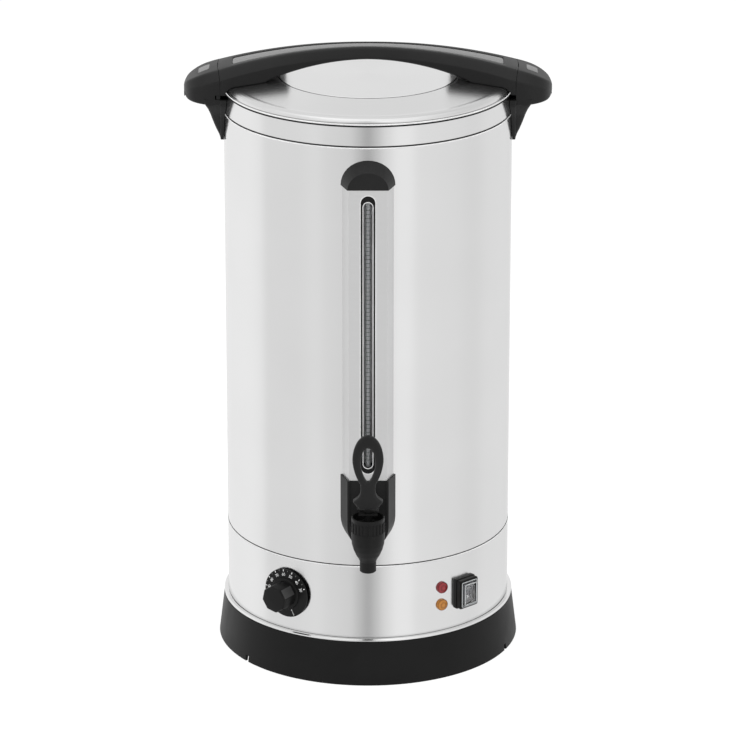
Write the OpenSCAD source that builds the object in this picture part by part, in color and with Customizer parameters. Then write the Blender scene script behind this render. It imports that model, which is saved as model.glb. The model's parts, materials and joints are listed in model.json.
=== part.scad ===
// Hot water urn: steel body on a black base, twist-lock lid with an arch handle, sight gauge in a
// bevelled column, self-closing tap, thermostat knob, two pilot lamps and a covered rocker switch.
// Frame: +Z up, origin in the middle of the face it stands on, tap towards -Y. Millimetres.

/* [Body] */
// Outside diameter of the steel body
body_d = 290; // [270:1:320]
// Thickness of the steel sheet
sheet_t = 1; // [0.8:0.1:1.4]
// Gap between the inner tank and the outer shell
wall_gap = 4; // [3.6:0.2:8]
// Height of the steel housing between the skirt and the seam
housing_h = 82; // [78:1:110]
// Height of the outer shell between the seam and the top band
shell_h = 439.3; // [380:0.1:520]
// Height of the band round the rim
band_h = 20.4; // [18:0.2:28]
// Height of the tank bottom above the seam
tank_lift = 11.5; // [10:0.5:20]
// Width of the dark joint lines between the steel rings
joint_gap = 0.6; // [0.3:0.1:1]

/* [Base] */
// Height of the black base skirt above the table
skirt_h = 45.5; // [40:0.5:60]
// How far the skirt stands out past the body at the table
skirt_flare = 10; // [8:0.5:14]
// How far the skirt and the steel lip stand out past the body at the top
lip_out = 4.5; // [3:0.5:6]
// Wall of the skirt moulding
skirt_t = 3; // [2.5:0.5:4]
// Thickness of the steel lip ring on the skirt
lip_t = 3; // [2.5:0.1:4]
// Radius of the three feet
foot_r = 10; // [8:0.5:12]
// Width of the flange at the top of the skirt
flange_w = 17; // [15:0.5:24]
// Distance from the body's outside in to the middle of the feet
foot_inset = 15; // [12:0.5:20]
// Height of the feet under the base plate
foot_h = 5; // [4:0.5:8]
// Thickness of the base plate
plate_t = 1.2; // [1:0.1:2]

/* [Heater] */
// Radius of the heater plate under the tank
heater_r = 86; // [70:1:100]
// Thickness of the heater plate
heater_t = 7; // [6:0.5:10]
// Radius of the ring that the heater tube makes
element_r = 62; // [50:1:66]
// Diameter of the heater tube
element_d = 8.5; // [7:0.1:9]
// Length of the thermostat's bulb
bulb_l = 90; // [70:1:110]

/* [Lid] */
// Height of the lid's flat shoulder above the rim
lid_rise = 7.8; // [6.8:0.1:12]
// Distance from the body's outside to the edge of the flat shoulder
shoulder_in = 14; // [11:0.5:16]
// Radius of the raised disc in the middle
disc_r = 90; // [70:1:95]
// Height of the raised disc above the shoulder
disc_rise = 6; // [4:0.1:8]
// Depth of the inner pan below the rim
pan_depth = 14; // [10:1:24]
// Thickness of the seal on the rim
seal_t = 1.4; // [1:0.1:2]

/* [Arch handle] */
// Height of the arch handle above the rim, at its middle
arch_rise = 43.8; // [40:0.1:55]
// How far the arch's top drops from its middle to the side handles
arch_drop = 20.8; // [16:0.2:22]
// Thickness of the arch at its middle
arch_t = 11; // [9:0.5:14]
// Half width of the arch's top face at its middle
arch_half_w = 11.3; // [9:0.1:13]
// Half width of the arch's top face at its ends
arch_end_half_w = 22; // [19:0.5:24]
// How far the ledge on the arch's sides lies below its top
ledge_drop = 9; // [7:0.5:10]
// Radius of the joint between the arch and the side handles, past the body
joint_out = 6; // [5:0.5:8]
// Width of the running gap between the arch and the side handles
joint_run = 0.4; // [0.3:0.1:0.8]

/* [Side handles] */
// How far a side handle reaches out past the joint
handle_reach = 33.7; // [30:0.1:40]
// How far the underside of the grip lies below the rim
handle_drop = 12.2; // [11:0.1:20]
// Height of the bracket arm below the rim
arm_h = 51; // [48:1:66]

/* [Sight gauge] */
// Distance from the seam to the bottom of the column
column_lift = 97.5; // [92:0.5:110]
// Distance from the top band down to the top of the column
column_drop = 39.1; // [36:0.1:50]
// How far the column's face stands out from the body
column_out = 15.5; // [14.5:0.5:20]
// Half width of the column at the body
column_half_w = 26; // [24:0.5:32]
// Half width of the column's front face
column_face_half_w = 19; // [16:0.5:21]
// Width of the slot in the column's face
slot_w = 15; // [14:0.5:18]
// Width of the window in the slot's black frame
window_w = 9.4; // [8:0.2:11]
// Outside diameter of the glass tube
tube_d = 6.5; // [5:0.1:7]

/* [Tap] */
// Distance from the body to the tap's axis
tap_reach = 45; // [42:0.5:55]
// Height of the tap's shank above the seam
shank_lift = 48; // [46:0.5:56]
// Greatest diameter of the tap's body
tap_d = 33.5; // [32:0.5:38]
// Diameter of the spout
spout_d = 16.4; // [15:0.2:20]
// Height of the shank above the spout's mouth
spout_h = 35.5; // [33:0.5:40]
// Radius of the threaded shank
shank_r = 10.9; // [9.9:0.1:11.5]
// Width of the lever's loop
lever_w = 31; // [28:0.5:36]
// Height of the lever above its pin
lever_h = 75; // [68:1:90]
// Thickness of the lever's loop
lever_t = 8; // [6:0.5:10]
// Diameter of the lever's pin
pin_d = 3; // [2.4:0.1:3.4]

/* [Controls] */
// Direction of the knob, in degrees from the tap
knob_az = -34.2; // [-50:0.2:-30]
// Height of the knob's axis above the skirt
knob_lift = 43.1; // [40:0.1:50]
// Diameter of the numbered skirt of the knob
knob_d = 51.4; // [44:0.2:56]
// Diameter of the knob's grip over its corners
grip_d = 28.4; // [24:0.2:34]
// How far the knob stands out from the body
knob_out = 25.5; // [20:0.5:32]
// Direction of the pilot lamps, in degrees from the tap
lamp_az = 31; // [24:0.5:32]
// Height of the red lamp above the skirt
lamp_lift = 50; // [46:0.5:52]
// Distance between the two lamps
lamp_pitch = 18.8; // [16:0.2:24]
// Diameter of the lamp lenses
lamp_d = 12; // [10:0.5:13]
// Direction of the rocker switch, in degrees from the tap
switch_az = 42.4; // [41:0.2:60]
// Height of the switch's middle above the skirt
switch_lift = 39; // [36:0.5:42]
// Width of the switch's black frame
switch_w = 26; // [25:0.5:28]
// Height of the switch's black frame
switch_h = 32; // [31:0.5:36]
// How far the switch's frame stands out from the body
switch_out = 8; // [7:0.5:10]

/* [Hidden] */
$fn = 96;

// Clearances
fit = 0.1;        // between fixed pieces that seat in each other
run_fit = 0.05;   // round a shaft or pin that turns
clear = 0.4;      // round pieces that move past each other
far = 400;        // reach of cutting tools

// Colours
steel = [0.80, 0.80, 0.79];
black = [0.09, 0.09, 0.09];
grey_inlay = [0.62, 0.63, 0.64];
rubber = [0.05, 0.05, 0.05];
silicone = [0.86, 0.86, 0.84];
brass = [0.75, 0.60, 0.32];

// Heights of the joints between the rings, from the table up
body_r = body_d / 2;
lip_z = skirt_h + lip_t;
seam_z = skirt_h + housing_h;
band_z = seam_z + shell_h;
rim_z = band_z + band_h;
tank_z = seam_z + tank_lift;
plate_z = foot_h;
foot_pitch = body_r - foot_inset;

// Radii
tank_r = body_r - sheet_t - wall_gap;     // outside of the inner tank
collar_r = body_r - sheet_t - fit;        // collars that the rings slip over
skirt_top_r = body_r + lip_out;
skirt_foot_r = body_r + skirt_flare;
flange_in_r = body_r - flange_w;          // inner edge of the flanges at the skirt's top
boss_az = 6.5;
boss_r = 7;
screw_r = 1.6;

// Lid and arch
plateau_z = rim_z + lid_rise;
plateau_r = body_r - shoulder_in;
hem_z = rim_z + 0.8;
hem_t = 1.9;
shoulder_run = shoulder_in - 2;
disc_z = plateau_z + disc_rise;
lid_slope = (disc_rise - 0.4) / (plateau_r - disc_r);
joint_r = body_r + joint_out;
arch_top_z = rim_z + arch_rise;
arch_radius = (joint_r * joint_r + arch_drop * arch_drop) / (2 * arch_drop);
foot_x = 0.71 * body_r;                   // where the arch meets the lid
foot_z = plateau_z + lid_slope * (plateau_r - foot_x);
under_drop = arch_top_z - arch_t - foot_z;
under_radius = (foot_x * foot_x + under_drop * under_drop) / (2 * under_drop);
leg_x = plateau_r - 2.5;                  // inner face of the arch's legs
leg_z = rim_z - 0.8;
lug_z = rim_z - 4.4;
lug_t = 3.6;
lug_out = 3.6;
handle_screw_drops = [25, 34];            // screws of the side handles below the rim
handle_screw_in = 4.6;                    // how deep they reach into the handles

// Gauge
column_z = seam_z + column_lift;
column_top = band_z - column_drop;
column_face = body_r + column_out;
cap_t = 2;
cap_over = 1.4;                           // how far the caps stand proud of the column
cap_low_over = cap_over + 0.6;            // the lower one stands prouder, round its sunk front
cap_low_mid = column_z - 44;              // where the lower cap starts to curve in
cap_low_h = 29;                           // height of that curved part
slot_low = column_z + 7;
slot_high = column_top - 5.7;
window_low = slot_low + 6;
window_high = slot_high - 7;
tube_y = -(column_face - 7.3);
frame_in = 0.4;                           // the slot's black frame lies this far behind the steel face
elbow_low = column_z - 11;
elbow_high = column_top + 10.5;
elbow_bore = 2.5;
barrel_r = 5;
tube_seat = 3;                            // how deep the tube stands in an elbow

// Tap
tap_y = -(body_r + tap_reach);
shank_z = seam_z + shank_lift;
spout_z = shank_z - spout_h;
tap_r = tap_d / 2;
tap_top = shank_z + 7.5;
seat_z = shank_z - 14;
chamber_r = tap_r - 3.8;
bonnet_top = tap_top + 15;
bonnet_floor = bonnet_top - 8;
guide_top = bonnet_top + 4.7;
guide_r = 4.15;
pin_z = guide_top + 6.3;
stem_r = 2.5;
head_r = 3.9;
cam_low = 6;                              // cam radius under the pin at rest
cam_gain = 4;                             // what the cam lifts for each radian that the lever turns
tilt = 40;                                // the lever's travel in degrees
lift = cam_gain * tilt * PI / 180;        // the stem's travel

// Controls
knob_z = skirt_h + knob_lift;
lamp_z = skirt_h + lamp_lift;
switch_z = skirt_h + switch_lift;
shaft_r = 3;
rock = 8;                                 // half of the rocker's travel in degrees
gland_az = 180;
gland_z = skirt_h + 26;

// ---------- helpers ----------

module revolve(points) rotate_extrude($fn = 180) polygon(points);

// Children drawn in front of the body (towards -Y) go to another direction
module round_to(az) rotate([0, 0, az]) children();

// Local frame on the wall: x to the right, y up, z straight out from the body's surface
module on_wall(az, z) round_to(az) translate([0, -body_r, z]) rotate([90, 0, 0]) children();

module three_times(az) for (i = [0:2]) round_to(az + 120 * i) children();

// A round bar along Y from y0 to y1
module bar_y(r, y0, y1, z = 0) translate([0, y1, z]) rotate([90, 0, 0]) cylinder(r = r, h = y1 - y0);

// A round bar along X
module bar_x(r, half, z = 0, y = 0) translate([-half, y, z]) rotate([0, 90, 0]) cylinder(r = r, h = 2 * half);

module body_cylinder(r) cylinder(r = r, h = 5 * far, center = true, $fn = 180);

// A rounded rectangle in the xy plane, centred
module soft_square(w, h, r) {
    square([w - 2 * r, h], center = true);
    square([w, h - 2 * r], center = true);
    for (x = [-1, 1], y = [-1, 1]) translate([x * (w / 2 - r), y * (h / 2 - r)]) circle(r = r, $fn = 32);
}

// A slot with round ends along y
module stadium(w, low, high) {
    translate([-w / 2, low + w / 2]) square([w, high - low - w]);
    for (y = [low + w / 2, high - w / 2]) translate([0, y]) circle(r = w / 2);
}

// Skin over a list of rings with equally many points, closed by flat ends
module loft(rings) {
    n = len(rings[0]);
    m = len(rings);
    sides = [for (i = [0:m - 2], j = [0:n - 1]) each [
        [i * n + j, (i + 1) * n + j, (i + 1) * n + (j + 1) % n],
        [i * n + j, (i + 1) * n + (j + 1) % n, i * n + (j + 1) % n]
    ]];
    first = [for (j = [0:n - 1]) j];
    last = [for (j = [n - 1:-1:0]) (m - 1) * n + j];
    polyhedron(points = [for (r = rings) each r], faces = concat([first], sides, [last]));
}

// ---------- base ----------

module base_skirt() {
    inner_top = skirt_top_r - skirt_t;
    inner_foot = skirt_foot_r - skirt_t;
    color(black) difference() {
        union() {
            revolve([
                [inner_foot, 0], [skirt_foot_r - 0.6, 0], [skirt_foot_r, 0.6], [skirt_top_r, skirt_h - 0.8],
                [skirt_top_r - 0.8, skirt_h], [flange_in_r, skirt_h],
                [flange_in_r, skirt_h - skirt_t], [inner_top, skirt_h - skirt_t]
            ]);
            three_times(boss_az) translate([0, -foot_pitch, plate_z + plate_t])
                cylinder(r = boss_r, h = skirt_h - skirt_t / 2 - plate_z - plate_t);
        }
        three_times(boss_az) translate([0, -foot_pitch, 0]) cylinder(r = screw_r + fit, h = skirt_h - 8);
        // drain notches
        three_times(boss_az + 60) translate([-2.5, -skirt_foot_r - 5, -1]) cube([5, 15, 7.5]);
    }
}

module base_plate() {
    plate_r = skirt_foot_r - skirt_t - 1;
    color(steel) difference() {
        translate([0, 0, plate_z]) cylinder(r = plate_r, h = plate_t);
        three_times(boss_az) translate([0, -foot_pitch, 0]) cylinder(r = screw_r + 0.6, h = far);
        // cooling slots
        for (a = [0:15:345]) round_to(a) translate([-2, -95, 0]) cube([4, 30, far]);
    }
}

module feet() {
    color(rubber) three_times(boss_az) translate([0, -foot_pitch, 0]) difference() {
        union() {
            cylinder(r = foot_r - 0.6, h = 1);
            translate([0, 0, 0.6]) cylinder(r = foot_r, h = foot_h - 0.6);
        }
        translate([0, 0, -1]) cylinder(r = screw_r + 0.6, h = far);
        translate([0, 0, -1]) cylinder(r = 4, h = 1 + foot_h / 2);
    }
}

module base_screws() {
    head_z = foot_h / 2;
    color(steel) three_times(boss_az) translate([0, -foot_pitch, head_z - 1.8]) {
        cylinder(r = 3.4, h = 1.8);
        cylinder(r = screw_r, h = skirt_h - 14);
    }
}

module base_ring() {
    color(steel) revolve([
        [flange_in_r, skirt_h], [skirt_top_r - 0.8, skirt_h], [skirt_top_r, skirt_h + 0.8],
        [skirt_top_r, lip_z - 0.9], [skirt_top_r - 0.9, lip_z], [body_r + joint_gap, lip_z],
        [body_r + joint_gap, skirt_h + 1.2], [flange_in_r, skirt_h + 1.2]
    ]);
}

// ---------- housing and shells ----------

module switch_hole(extra) translate([0, 0, -20]) linear_extrude(40)
    square([switch_w - 6.4 + extra, switch_h - 6.4 + extra], center = true);

module housing_shell() {
    low = skirt_h + 1.2;
    high = seam_z - joint_gap / 2;
    color(steel) difference() {
        revolve([
            [flange_in_r, low], [body_r, low], [body_r, high], [collar_r, high],
            [collar_r, seam_z + 8], [collar_r - sheet_t, seam_z + 8],
            [collar_r - sheet_t, high - sheet_t], [body_r - sheet_t, high - sheet_t],
            [body_r - sheet_t, low + sheet_t], [flange_in_r, low + sheet_t]
        ]);
        on_wall(knob_az, knob_z) translate([0, 0, -20]) {
            cylinder(r = 6.4, h = 40);
            for (x = [-14, 14]) translate([x, 0, 0]) cylinder(r = 2.2, h = 40);
        }
        for (z = [lamp_z, lamp_z - lamp_pitch]) on_wall(lamp_az, z) translate([0, 0, -20])
            cylinder(r = lamp_d / 2 - 1.2, h = 40);
        on_wall(switch_az, switch_z) switch_hole(0.2);
        on_wall(gland_az, gland_z) translate([0, 0, -20]) cylinder(r = 8.2, h = 40);
    }
}

// Every hole that goes through both the outer shell and the tank wall
module wall_holes() {
    bar_y(shank_r + 0.2, -far, 0, shank_z);
    for (z = [elbow_low, elbow_high]) bar_y(barrel_r + 0.2, -far, 0, z);
}

module handle_screw_axes() for (x = [-1, 1], drop = handle_screw_drops)
    translate([0, 0, rim_z - drop]) rotate([0, x * 90, 0]) children();

module outer_shell() {
    low = seam_z + joint_gap / 2;
    high = band_z - joint_gap / 2;
    under_rim = rim_z - sheet_t;
    color(steel) difference() {
        revolve([
            [body_r - sheet_t, low], [body_r, low], [body_r, high], [collar_r, high],
            [collar_r, under_rim], [collar_r - sheet_t, under_rim],
            [collar_r - sheet_t, high - sheet_t], [body_r - sheet_t, high - sheet_t]
        ]);
        wall_holes();
        handle_screw_axes() cylinder(r = 2.2, h = far);
    }
}

module tank() {
    wall_in = tank_r - sheet_t;
    corner = 8;
    bottom_t = 1.5;
    color(steel) difference() {
        revolve(concat(
            [[0, tank_z], [tank_r - corner, tank_z]],
            [for (a = [15:15:75]) [tank_r - corner + corner * sin(a), tank_z + corner * (1 - cos(a))]],
            [[tank_r, tank_z + corner], [tank_r, rim_z - sheet_t], [body_r - sheet_t, rim_z - sheet_t],
             [body_r - sheet_t, band_z + joint_gap / 2], [body_r, band_z + joint_gap / 2],
             [body_r, rim_z - 0.5], [body_r - 0.5, rim_z], [wall_in, rim_z],
             [wall_in, tank_z + corner]],
            [for (a = [75:-15:15]) [wall_in - (corner - sheet_t) * (1 - sin(a)),
                                    tank_z + bottom_t + (corner - bottom_t) * (1 - cos(a))]],
            [[wall_in - corner + sheet_t, tank_z + bottom_t], [0, tank_z + bottom_t]]
        ));
        wall_holes();
    }
}

// ---------- heating and wiring ----------

module heater_plate() {
    groove_r = element_d / 2 + 0.15;
    color([0.7, 0.7, 0.72]) translate([0, 0, tank_z - heater_t]) difference() {
        cylinder(r = heater_r, h = heater_t);
        translate([0, 0, -0.1]) rotate_extrude() translate([element_r, 0]) circle(r = groove_r, $fn = 32);
    }
}

module heater_tube() {
    pin_az = [-8, 8];
    ring_z = tank_z - heater_t - 0.1;
    color([0.45, 0.44, 0.42]) {
        rotate([0, 0, -90 + 6]) rotate_extrude(angle = 348) translate([element_r, ring_z])
            circle(r = element_d / 2, $fn = 32);
        for (a = pin_az) round_to(a) translate([0, -element_r, ring_z - 23])
            cylinder(r = element_d / 2 - 0.65, h = 22);
    }
}

module boil_dry_cutout() {
    color(black) translate([0, 0, tank_z - heater_t - 12]) {
        cylinder(r = 9, h = 12);
        for (x = [-5, 5]) translate([x - 2.5, -0.4, -8]) cube([5, 0.8, 9]);
    }
}

module thermostat_body() {
    color([0.85, 0.84, 0.80]) on_wall(knob_az, knob_z) difference() {
        union() {
            translate([-17, -17, -26]) cube([34, 34, 26 - sheet_t - 1.4]);
            translate([0, 0, -10]) cylinder(r = 6, h = 10);
            for (x = [-14, 14]) translate([x, 0, -10]) cylinder(r = 3, h = 10 - sheet_t - 0.9);
        }
        translate([0, 0, -16]) cylinder(r = shaft_r + run_fit, h = 40);
        for (x = [-14, 14]) translate([x, 0, -14]) cylinder(r = screw_r + fit, h = 40);
    }
}

module thermostat_screws() {
    color(steel) on_wall(knob_az, knob_z) for (x = [-14, 14]) translate([x, 0, -12]) {
        cylinder(r = screw_r, h = 12);
        translate([0, 0, 11.62]) cylinder(r = 2.9, h = 1.1);
    }
}

module thermostat_probe() {
    bulb_r = 3;
    bulb = [-heater_r - 14, -bulb_l / 3, tank_z - bulb_r - 0.1];
    drop_r = body_r - 22;                 // where the capillary drops to the thermostat
    bend = [drop_r * sin(knob_az), -drop_r * cos(knob_az)];
    run = [bend[0] - bulb[0], bend[1] - bulb[1]];
    color(brass) {
        translate(bulb) rotate([-90, 0, 0]) cylinder(r = bulb_r, h = bulb_l);
        translate([bulb[0], bulb[1], bulb[2] - 1.6]) cylinder(r = 3.4, h = 3.2);
        translate([bulb[0], bulb[1], bulb[2]]) rotate([0, 0, atan2(run[1], run[0])]) rotate([0, 90, 0])
            cylinder(r = 0.9, h = norm(run));
        translate([bend[0], bend[1], knob_z + 17]) cylinder(r = 1.3, h = bulb[2] - knob_z - 15);
    }
}

module thermostat_shaft() {
    color(steel) on_wall(knob_az, knob_z) translate([0, 0, -15.5]) cylinder(r = shaft_r, h = knob_out + 10);
}

module terminal_block() {
    color([0.90, 0.89, 0.85]) translate([-24, 62, plate_z + plate_t]) difference() {
        cube([48, 20, 15]);
        for (x = [8, 24, 40]) {
            translate([x, 10, 6]) cylinder(r = 3.2, h = 20);
            translate([x, -1, 6]) rotate([-90, 0, 0]) cylinder(r = 2.4, h = 30);
        }
    }
}

module cord_gland() {
    color(black) on_wall(gland_az, gland_z) difference() {
        union() {
            translate([0, 0, -8]) cylinder(r = 8, h = 10);
            translate([0, 0, fit]) cylinder(r = 12, h = 3.5);
            translate([0, 0, 3]) cylinder(r1 = 9, r2 = 6.6, h = 16);
            translate([0, 0, -sheet_t - 6]) cylinder(r = 11, h = 4.4, $fn = 6);
        }
        translate([0, 0, -20]) cylinder(r = 3.9, h = 60);
    }
}

// ---------- controls ----------

module knob() {
    grip_r = grip_d / 2;
    skirt_low = 1.3;
    hub_r = grip_r + 2.6;
    color(black) on_wall(knob_az, knob_z) difference() {
        union() {
            rotate_extrude() polygon([
                [0, skirt_low], [knob_d / 2, skirt_low], [knob_d / 2, skirt_low + 2],
                [hub_r, skirt_low + 2.8], [hub_r - 0.8, skirt_low + 5], [0, skirt_low + 5]
            ]);
            // eight-sided grip with its front edge bevelled all round
            intersection() {
                rotate(10.6) translate([0, 0, 3]) cylinder(r = grip_r, h = knob_out - 3, $fn = 8);
                rotate_extrude() polygon([
                    [0, 2], [grip_r + 1, 2], [grip_r + 1, knob_out - 1.6], [grip_r - 1.2, knob_out],
                    [0, knob_out]
                ]);
            }
        }
        translate([0, 0, -1]) cylinder(r = shaft_r + run_fit, h = knob_out - 4);
    }
}

module pilot_lamp(tint, z) {
    color(tint) on_wall(lamp_az, z) {
        translate([0, 0, fit + 0.1]) cylinder(r = lamp_d / 2, h = 1.6);
        translate([0, 0, 1.7]) intersection() {
            cylinder(r = lamp_d / 2 - 0.8, h = 3);
            translate([0, 0, -7.6]) sphere(r = 9.6);
        }
        translate([0, 0, -16]) cylinder(r = lamp_d / 2 - 1.4, h = 17);
    }
}

module lamp_nuts() {
    color(black) for (z = [lamp_z, lamp_z - lamp_pitch]) on_wall(lamp_az, z)
        translate([0, 0, -sheet_t - 4.2]) difference() {
            cylinder(r = lamp_d / 2 + 1.6, h = 4, $fn = 6);
            translate([0, 0, -1]) cylinder(r = lamp_d / 2 - 1.4 + fit, h = 9);
        }
}

rocker_len = switch_h - 11.2;
rocker_w = switch_w - 11.4;
pivot_out = 0.5;

module switch_body() {
    w = switch_w - 6.6;
    h = switch_h - 6.6;
    color(black) on_wall(switch_az, switch_z) difference() {
        union() {
            translate([0, 0, -25]) linear_extrude(27) square([w, h], center = true);
            for (y = [-7, 0, 7]) translate([-3, y - 0.4, -33]) cube([6, 0.8, 9]);
        }
        translate([0, 0, pivot_out - 3.2]) linear_extrude(9)
            square([rocker_w + 0.8, rocker_len + 1.9], center = true);
        translate([0, 0, pivot_out]) bar_x(1.2 + run_fit, rocker_w / 2 + 1.4);
    }
}

module rocker() {
    half = rocker_len / 2;
    color([0.20, 0.20, 0.21]) on_wall(switch_az, switch_z) translate([0, 0, pivot_out]) rotate([rock, 0, 0]) {
        translate([-rocker_w / 2, 0, 0]) rotate([90, 0, 90]) linear_extrude(rocker_w) polygon([
            [-half, 1.5], [-half, 4.4], [-half + 0.5, 4.7], [-half / 2, 4.1], [0, 3.8], [half / 2, 4.1],
            [half - 0.5, 4.7], [half, 4.4], [half, 1.5], [3.4, -1.6], [-3.4, -1.6]
        ]);
        bar_x(1.2, rocker_w / 2 + 1.2);
    }
}

module switch_bezel() {
    color(black) on_wall(switch_az, switch_z) difference() {
        union() {
            translate([0, 0, -2]) linear_extrude(4) soft_square(switch_w, switch_h, 2);
            translate([0, 0, 1]) linear_extrude(switch_out - 2) soft_square(switch_w - 1.4, switch_h - 1.4, 2);
            translate([0, 0, 1]) linear_extrude(switch_out - 1) soft_square(switch_w - 3, switch_h - 3, 1.5);
        }
        translate([0, 0, -10]) linear_extrude(30) square([switch_w - 5.2, switch_h - 5.2], center = true);
        translate([0, 0, -body_r]) rotate([90, 0, 0]) body_cylinder(body_r + fit);
    }
}

module cover_block(w, h, low, high, taper) hull() {
    translate([0, 0, low]) linear_extrude(high - low - taper) soft_square(w, h, 1.2);
    translate([0, 0, high - 0.1]) linear_extrude(0.1) soft_square(w - 2 * taper, h - 2 * taper, 1.2);
}

module switch_cover() {
    w = switch_w - 5.4;
    h = switch_h - 5.4;
    front = switch_out + 2.2;
    color([0.85, 0.87, 0.88, 0.35]) on_wall(switch_az, switch_z) difference() {
        cover_block(w, h, 2.1, front, 2.2);
        translate([0, 0, -0.9]) cover_block(w - 1.8, h - 1.8, 2.1, front, 2.2);
    }
}

// ---------- sight gauge ----------

// Trapezium section of the column, as seen from above, grown by extra and drawn back to -back
module column_section(extra, back) {
    wall = body_r - 4;
    slope = (column_half_w - column_face_half_w) / (column_face - wall);
    half = column_half_w + extra + slope * (wall - back);
    face = column_face_half_w + extra * 0.8;
    polygon([[-half, -back], [half, -back], [face, -column_face - extra], [-face, -column_face - extra]]);
}

module gauge_column() {
    inner = -sheet_t;
    color(steel) difference() {
        translate([0, 0, column_z - 4]) linear_extrude(column_top - column_z + 8) difference() {
            column_section(0, body_r - 4);
            column_section(inner, body_r - 8);
        }
        body_cylinder(body_r + fit);
        translate([0, -column_face + 5, 0]) rotate([90, 0, 0]) linear_extrude(10)
            stadium(slot_w, slot_low, slot_high);
    }
}

// Front view of a cap: straight from low to mid, then half an oval of height h
module cap_outline(side, low, mid, half, h) polygon(concat(
    low == mid ? [] : [[half, low]],
    [for (a = [0:10:180]) [half * cos(a), mid + side * h * sin(a)]],
    low == mid ? [] : [[-half, low]]
));

// A cap with a rounded end, bevelled like the column all the way round. side is 1 for the upper one
// and -1 for the lower, wall_h and face_h are the ovals' heights at the wall and at the front, and
// the front curves in late_by further from the straight end
module cap_block(side, low, mid, wall_h, face_h, late_by, extra) {
    wall = body_r - 4;
    leaf = 0.1;                           // thickness of the two plates that the block joins
    hull() {
        translate([0, -wall, 0]) rotate([90, 0, 0]) linear_extrude(leaf)
            cap_outline(side, low, mid, column_half_w + extra, wall_h + extra);
        translate([0, leaf - column_face - extra, 0]) rotate([90, 0, 0]) linear_extrude(leaf)
            cap_outline(side, low, mid + side * late_by, column_face_half_w + 0.8 * extra, face_h + extra);
    }
}

module cap_top_block(low, extra) cap_block(1, low, low, column_half_w, column_face_half_w - 2.8, 0, extra);

module cap_low_block(low, extra) cap_block(-1, low, cap_low_mid, cap_low_h, cap_low_h - 7, 5, extra);

module gauge_cap_top() {
    color(black) difference() {
        cap_top_block(column_top, cap_over);
        cap_top_block(column_top - 0.1, cap_over - cap_t);
        translate([0, 0, column_top - 6]) linear_extrude(10 + fit) column_section(fit, body_r - 8);
        body_cylinder(body_r + fit);
    }
}

module gauge_cap_bottom() {
    sunk = column_face_half_w - 0.6;      // half width of the sunk front
    color(black) difference() {
        cap_low_block(column_z, cap_low_over);
        cap_low_block(column_z + 0.1, cap_over - cap_t);
        translate([0, 0, column_z - 4 - fit]) linear_extrude(10) column_section(fit, body_r - 8);
        body_cylinder(body_r + fit);
        bar_y(shank_r + 3, -far, 0, shank_z);
        translate([0, -column_face - 0.4, 0]) rotate([90, 0, 0]) linear_extrude(cap_t * 2) polygon([
            [-sunk, column_z + 1], [-sunk, cap_low_mid], [-sunk + 3, cap_low_mid - 16],
            [sunk - 3, cap_low_mid - 16], [sunk, cap_low_mid], [sunk, column_z + 1]
        ]);
    }
}

module gauge_frame() {
    back = tube_y + 4.4;
    color(black) difference() {
        translate([0, back, 0]) rotate([90, 0, 0]) linear_extrude(column_face + back - frame_in) difference() {
            stadium(slot_w - 2 * fit, slot_low + fit, slot_high - fit);
            stadium(window_w, window_low, window_high);
        }
        translate([0, tube_y, slot_low - 5]) cylinder(r = tube_d / 2 + fit, h = slot_high - slot_low + 10);
    }
}

module gauge_trim() {
    color(steel) translate([0, frame_in - column_face, 0]) rotate([90, 0, 0]) linear_extrude(0.6) difference() {
        stadium(window_w + 1.2, window_low - 0.6, window_high + 0.6);
        stadium(window_w - 0.2, window_low + 0.1, window_high - 0.1);
    }
}

module gauge_tube() {
    low = elbow_low + barrel_r;
    high = elbow_high - barrel_r;
    color([0.80, 0.88, 0.90, 0.4]) translate([0, tube_y, low]) difference() {
        cylinder(r = tube_d / 2, h = high - low);
        translate([0, 0, -1]) cylinder(r = tube_d / 2 - 1.1, h = far);
    }
}

module gauge_scale() {
    color([0.93, 0.93, 0.92]) translate([-slot_w / 2 + 1, tube_y + 4.4 + fit, window_low - 4])
        cube([slot_w - 2, 0.6, window_high - window_low + 8]);
}

// Elbow with its socket pointing up; the barrel goes through both walls
module gauge_elbow(z) {
    socket_h = barrel_r + tube_seat + 3;
    translate([0, 0, z]) difference() {
        union() {
            bar_y(barrel_r, tube_y, -tank_r + 14);
            translate([0, tube_y, -barrel_r]) cylinder(r = barrel_r + 0.2, h = barrel_r + socket_h);
        }
        bar_y(elbow_bore, tube_y, 0);
        translate([0, tube_y, 0]) cylinder(r = elbow_bore, h = 20);
        translate([0, tube_y, barrel_r - fit]) cylinder(r = tube_d / 2 + fit, h = 20);
    }
}

module gauge_elbow_bottom() color(brass) gauge_elbow(elbow_low);

module gauge_elbow_top() color(brass) translate([0, 0, 2 * elbow_high]) mirror([0, 0, 1]) gauge_elbow(elbow_high);

module gauge_nuts() {
    color(brass) intersection() {
        for (z = [elbow_low, elbow_high]) translate([0, -tank_r + 6.4, z]) rotate([90, 0, 0]) difference() {
            cylinder(r = barrel_r + 4, h = 8, $fn = 6);
            translate([0, 0, -1]) cylinder(r = barrel_r + fit, h = 20);
        }
        body_cylinder(tank_r - sheet_t - fit);
    }
}

// ---------- lid ----------

// Outer line of the lid from its raised disc to its rim, moved out by grow
function lid_line(grow) = concat(
    [[0, disc_z + 1 + grow], [disc_r * 0.5, disc_z + 0.7 + grow], [disc_r - 0.6, disc_z + grow],
     [disc_r, disc_z - 0.4 + grow], [plateau_r, plateau_z + grow]],
    [for (a = [15:15:90]) [plateau_r + (shoulder_run + grow) * sin(a),
                           hem_z + hem_t + grow + (plateau_z - hem_z - hem_t) * cos(a)]]
);

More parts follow.
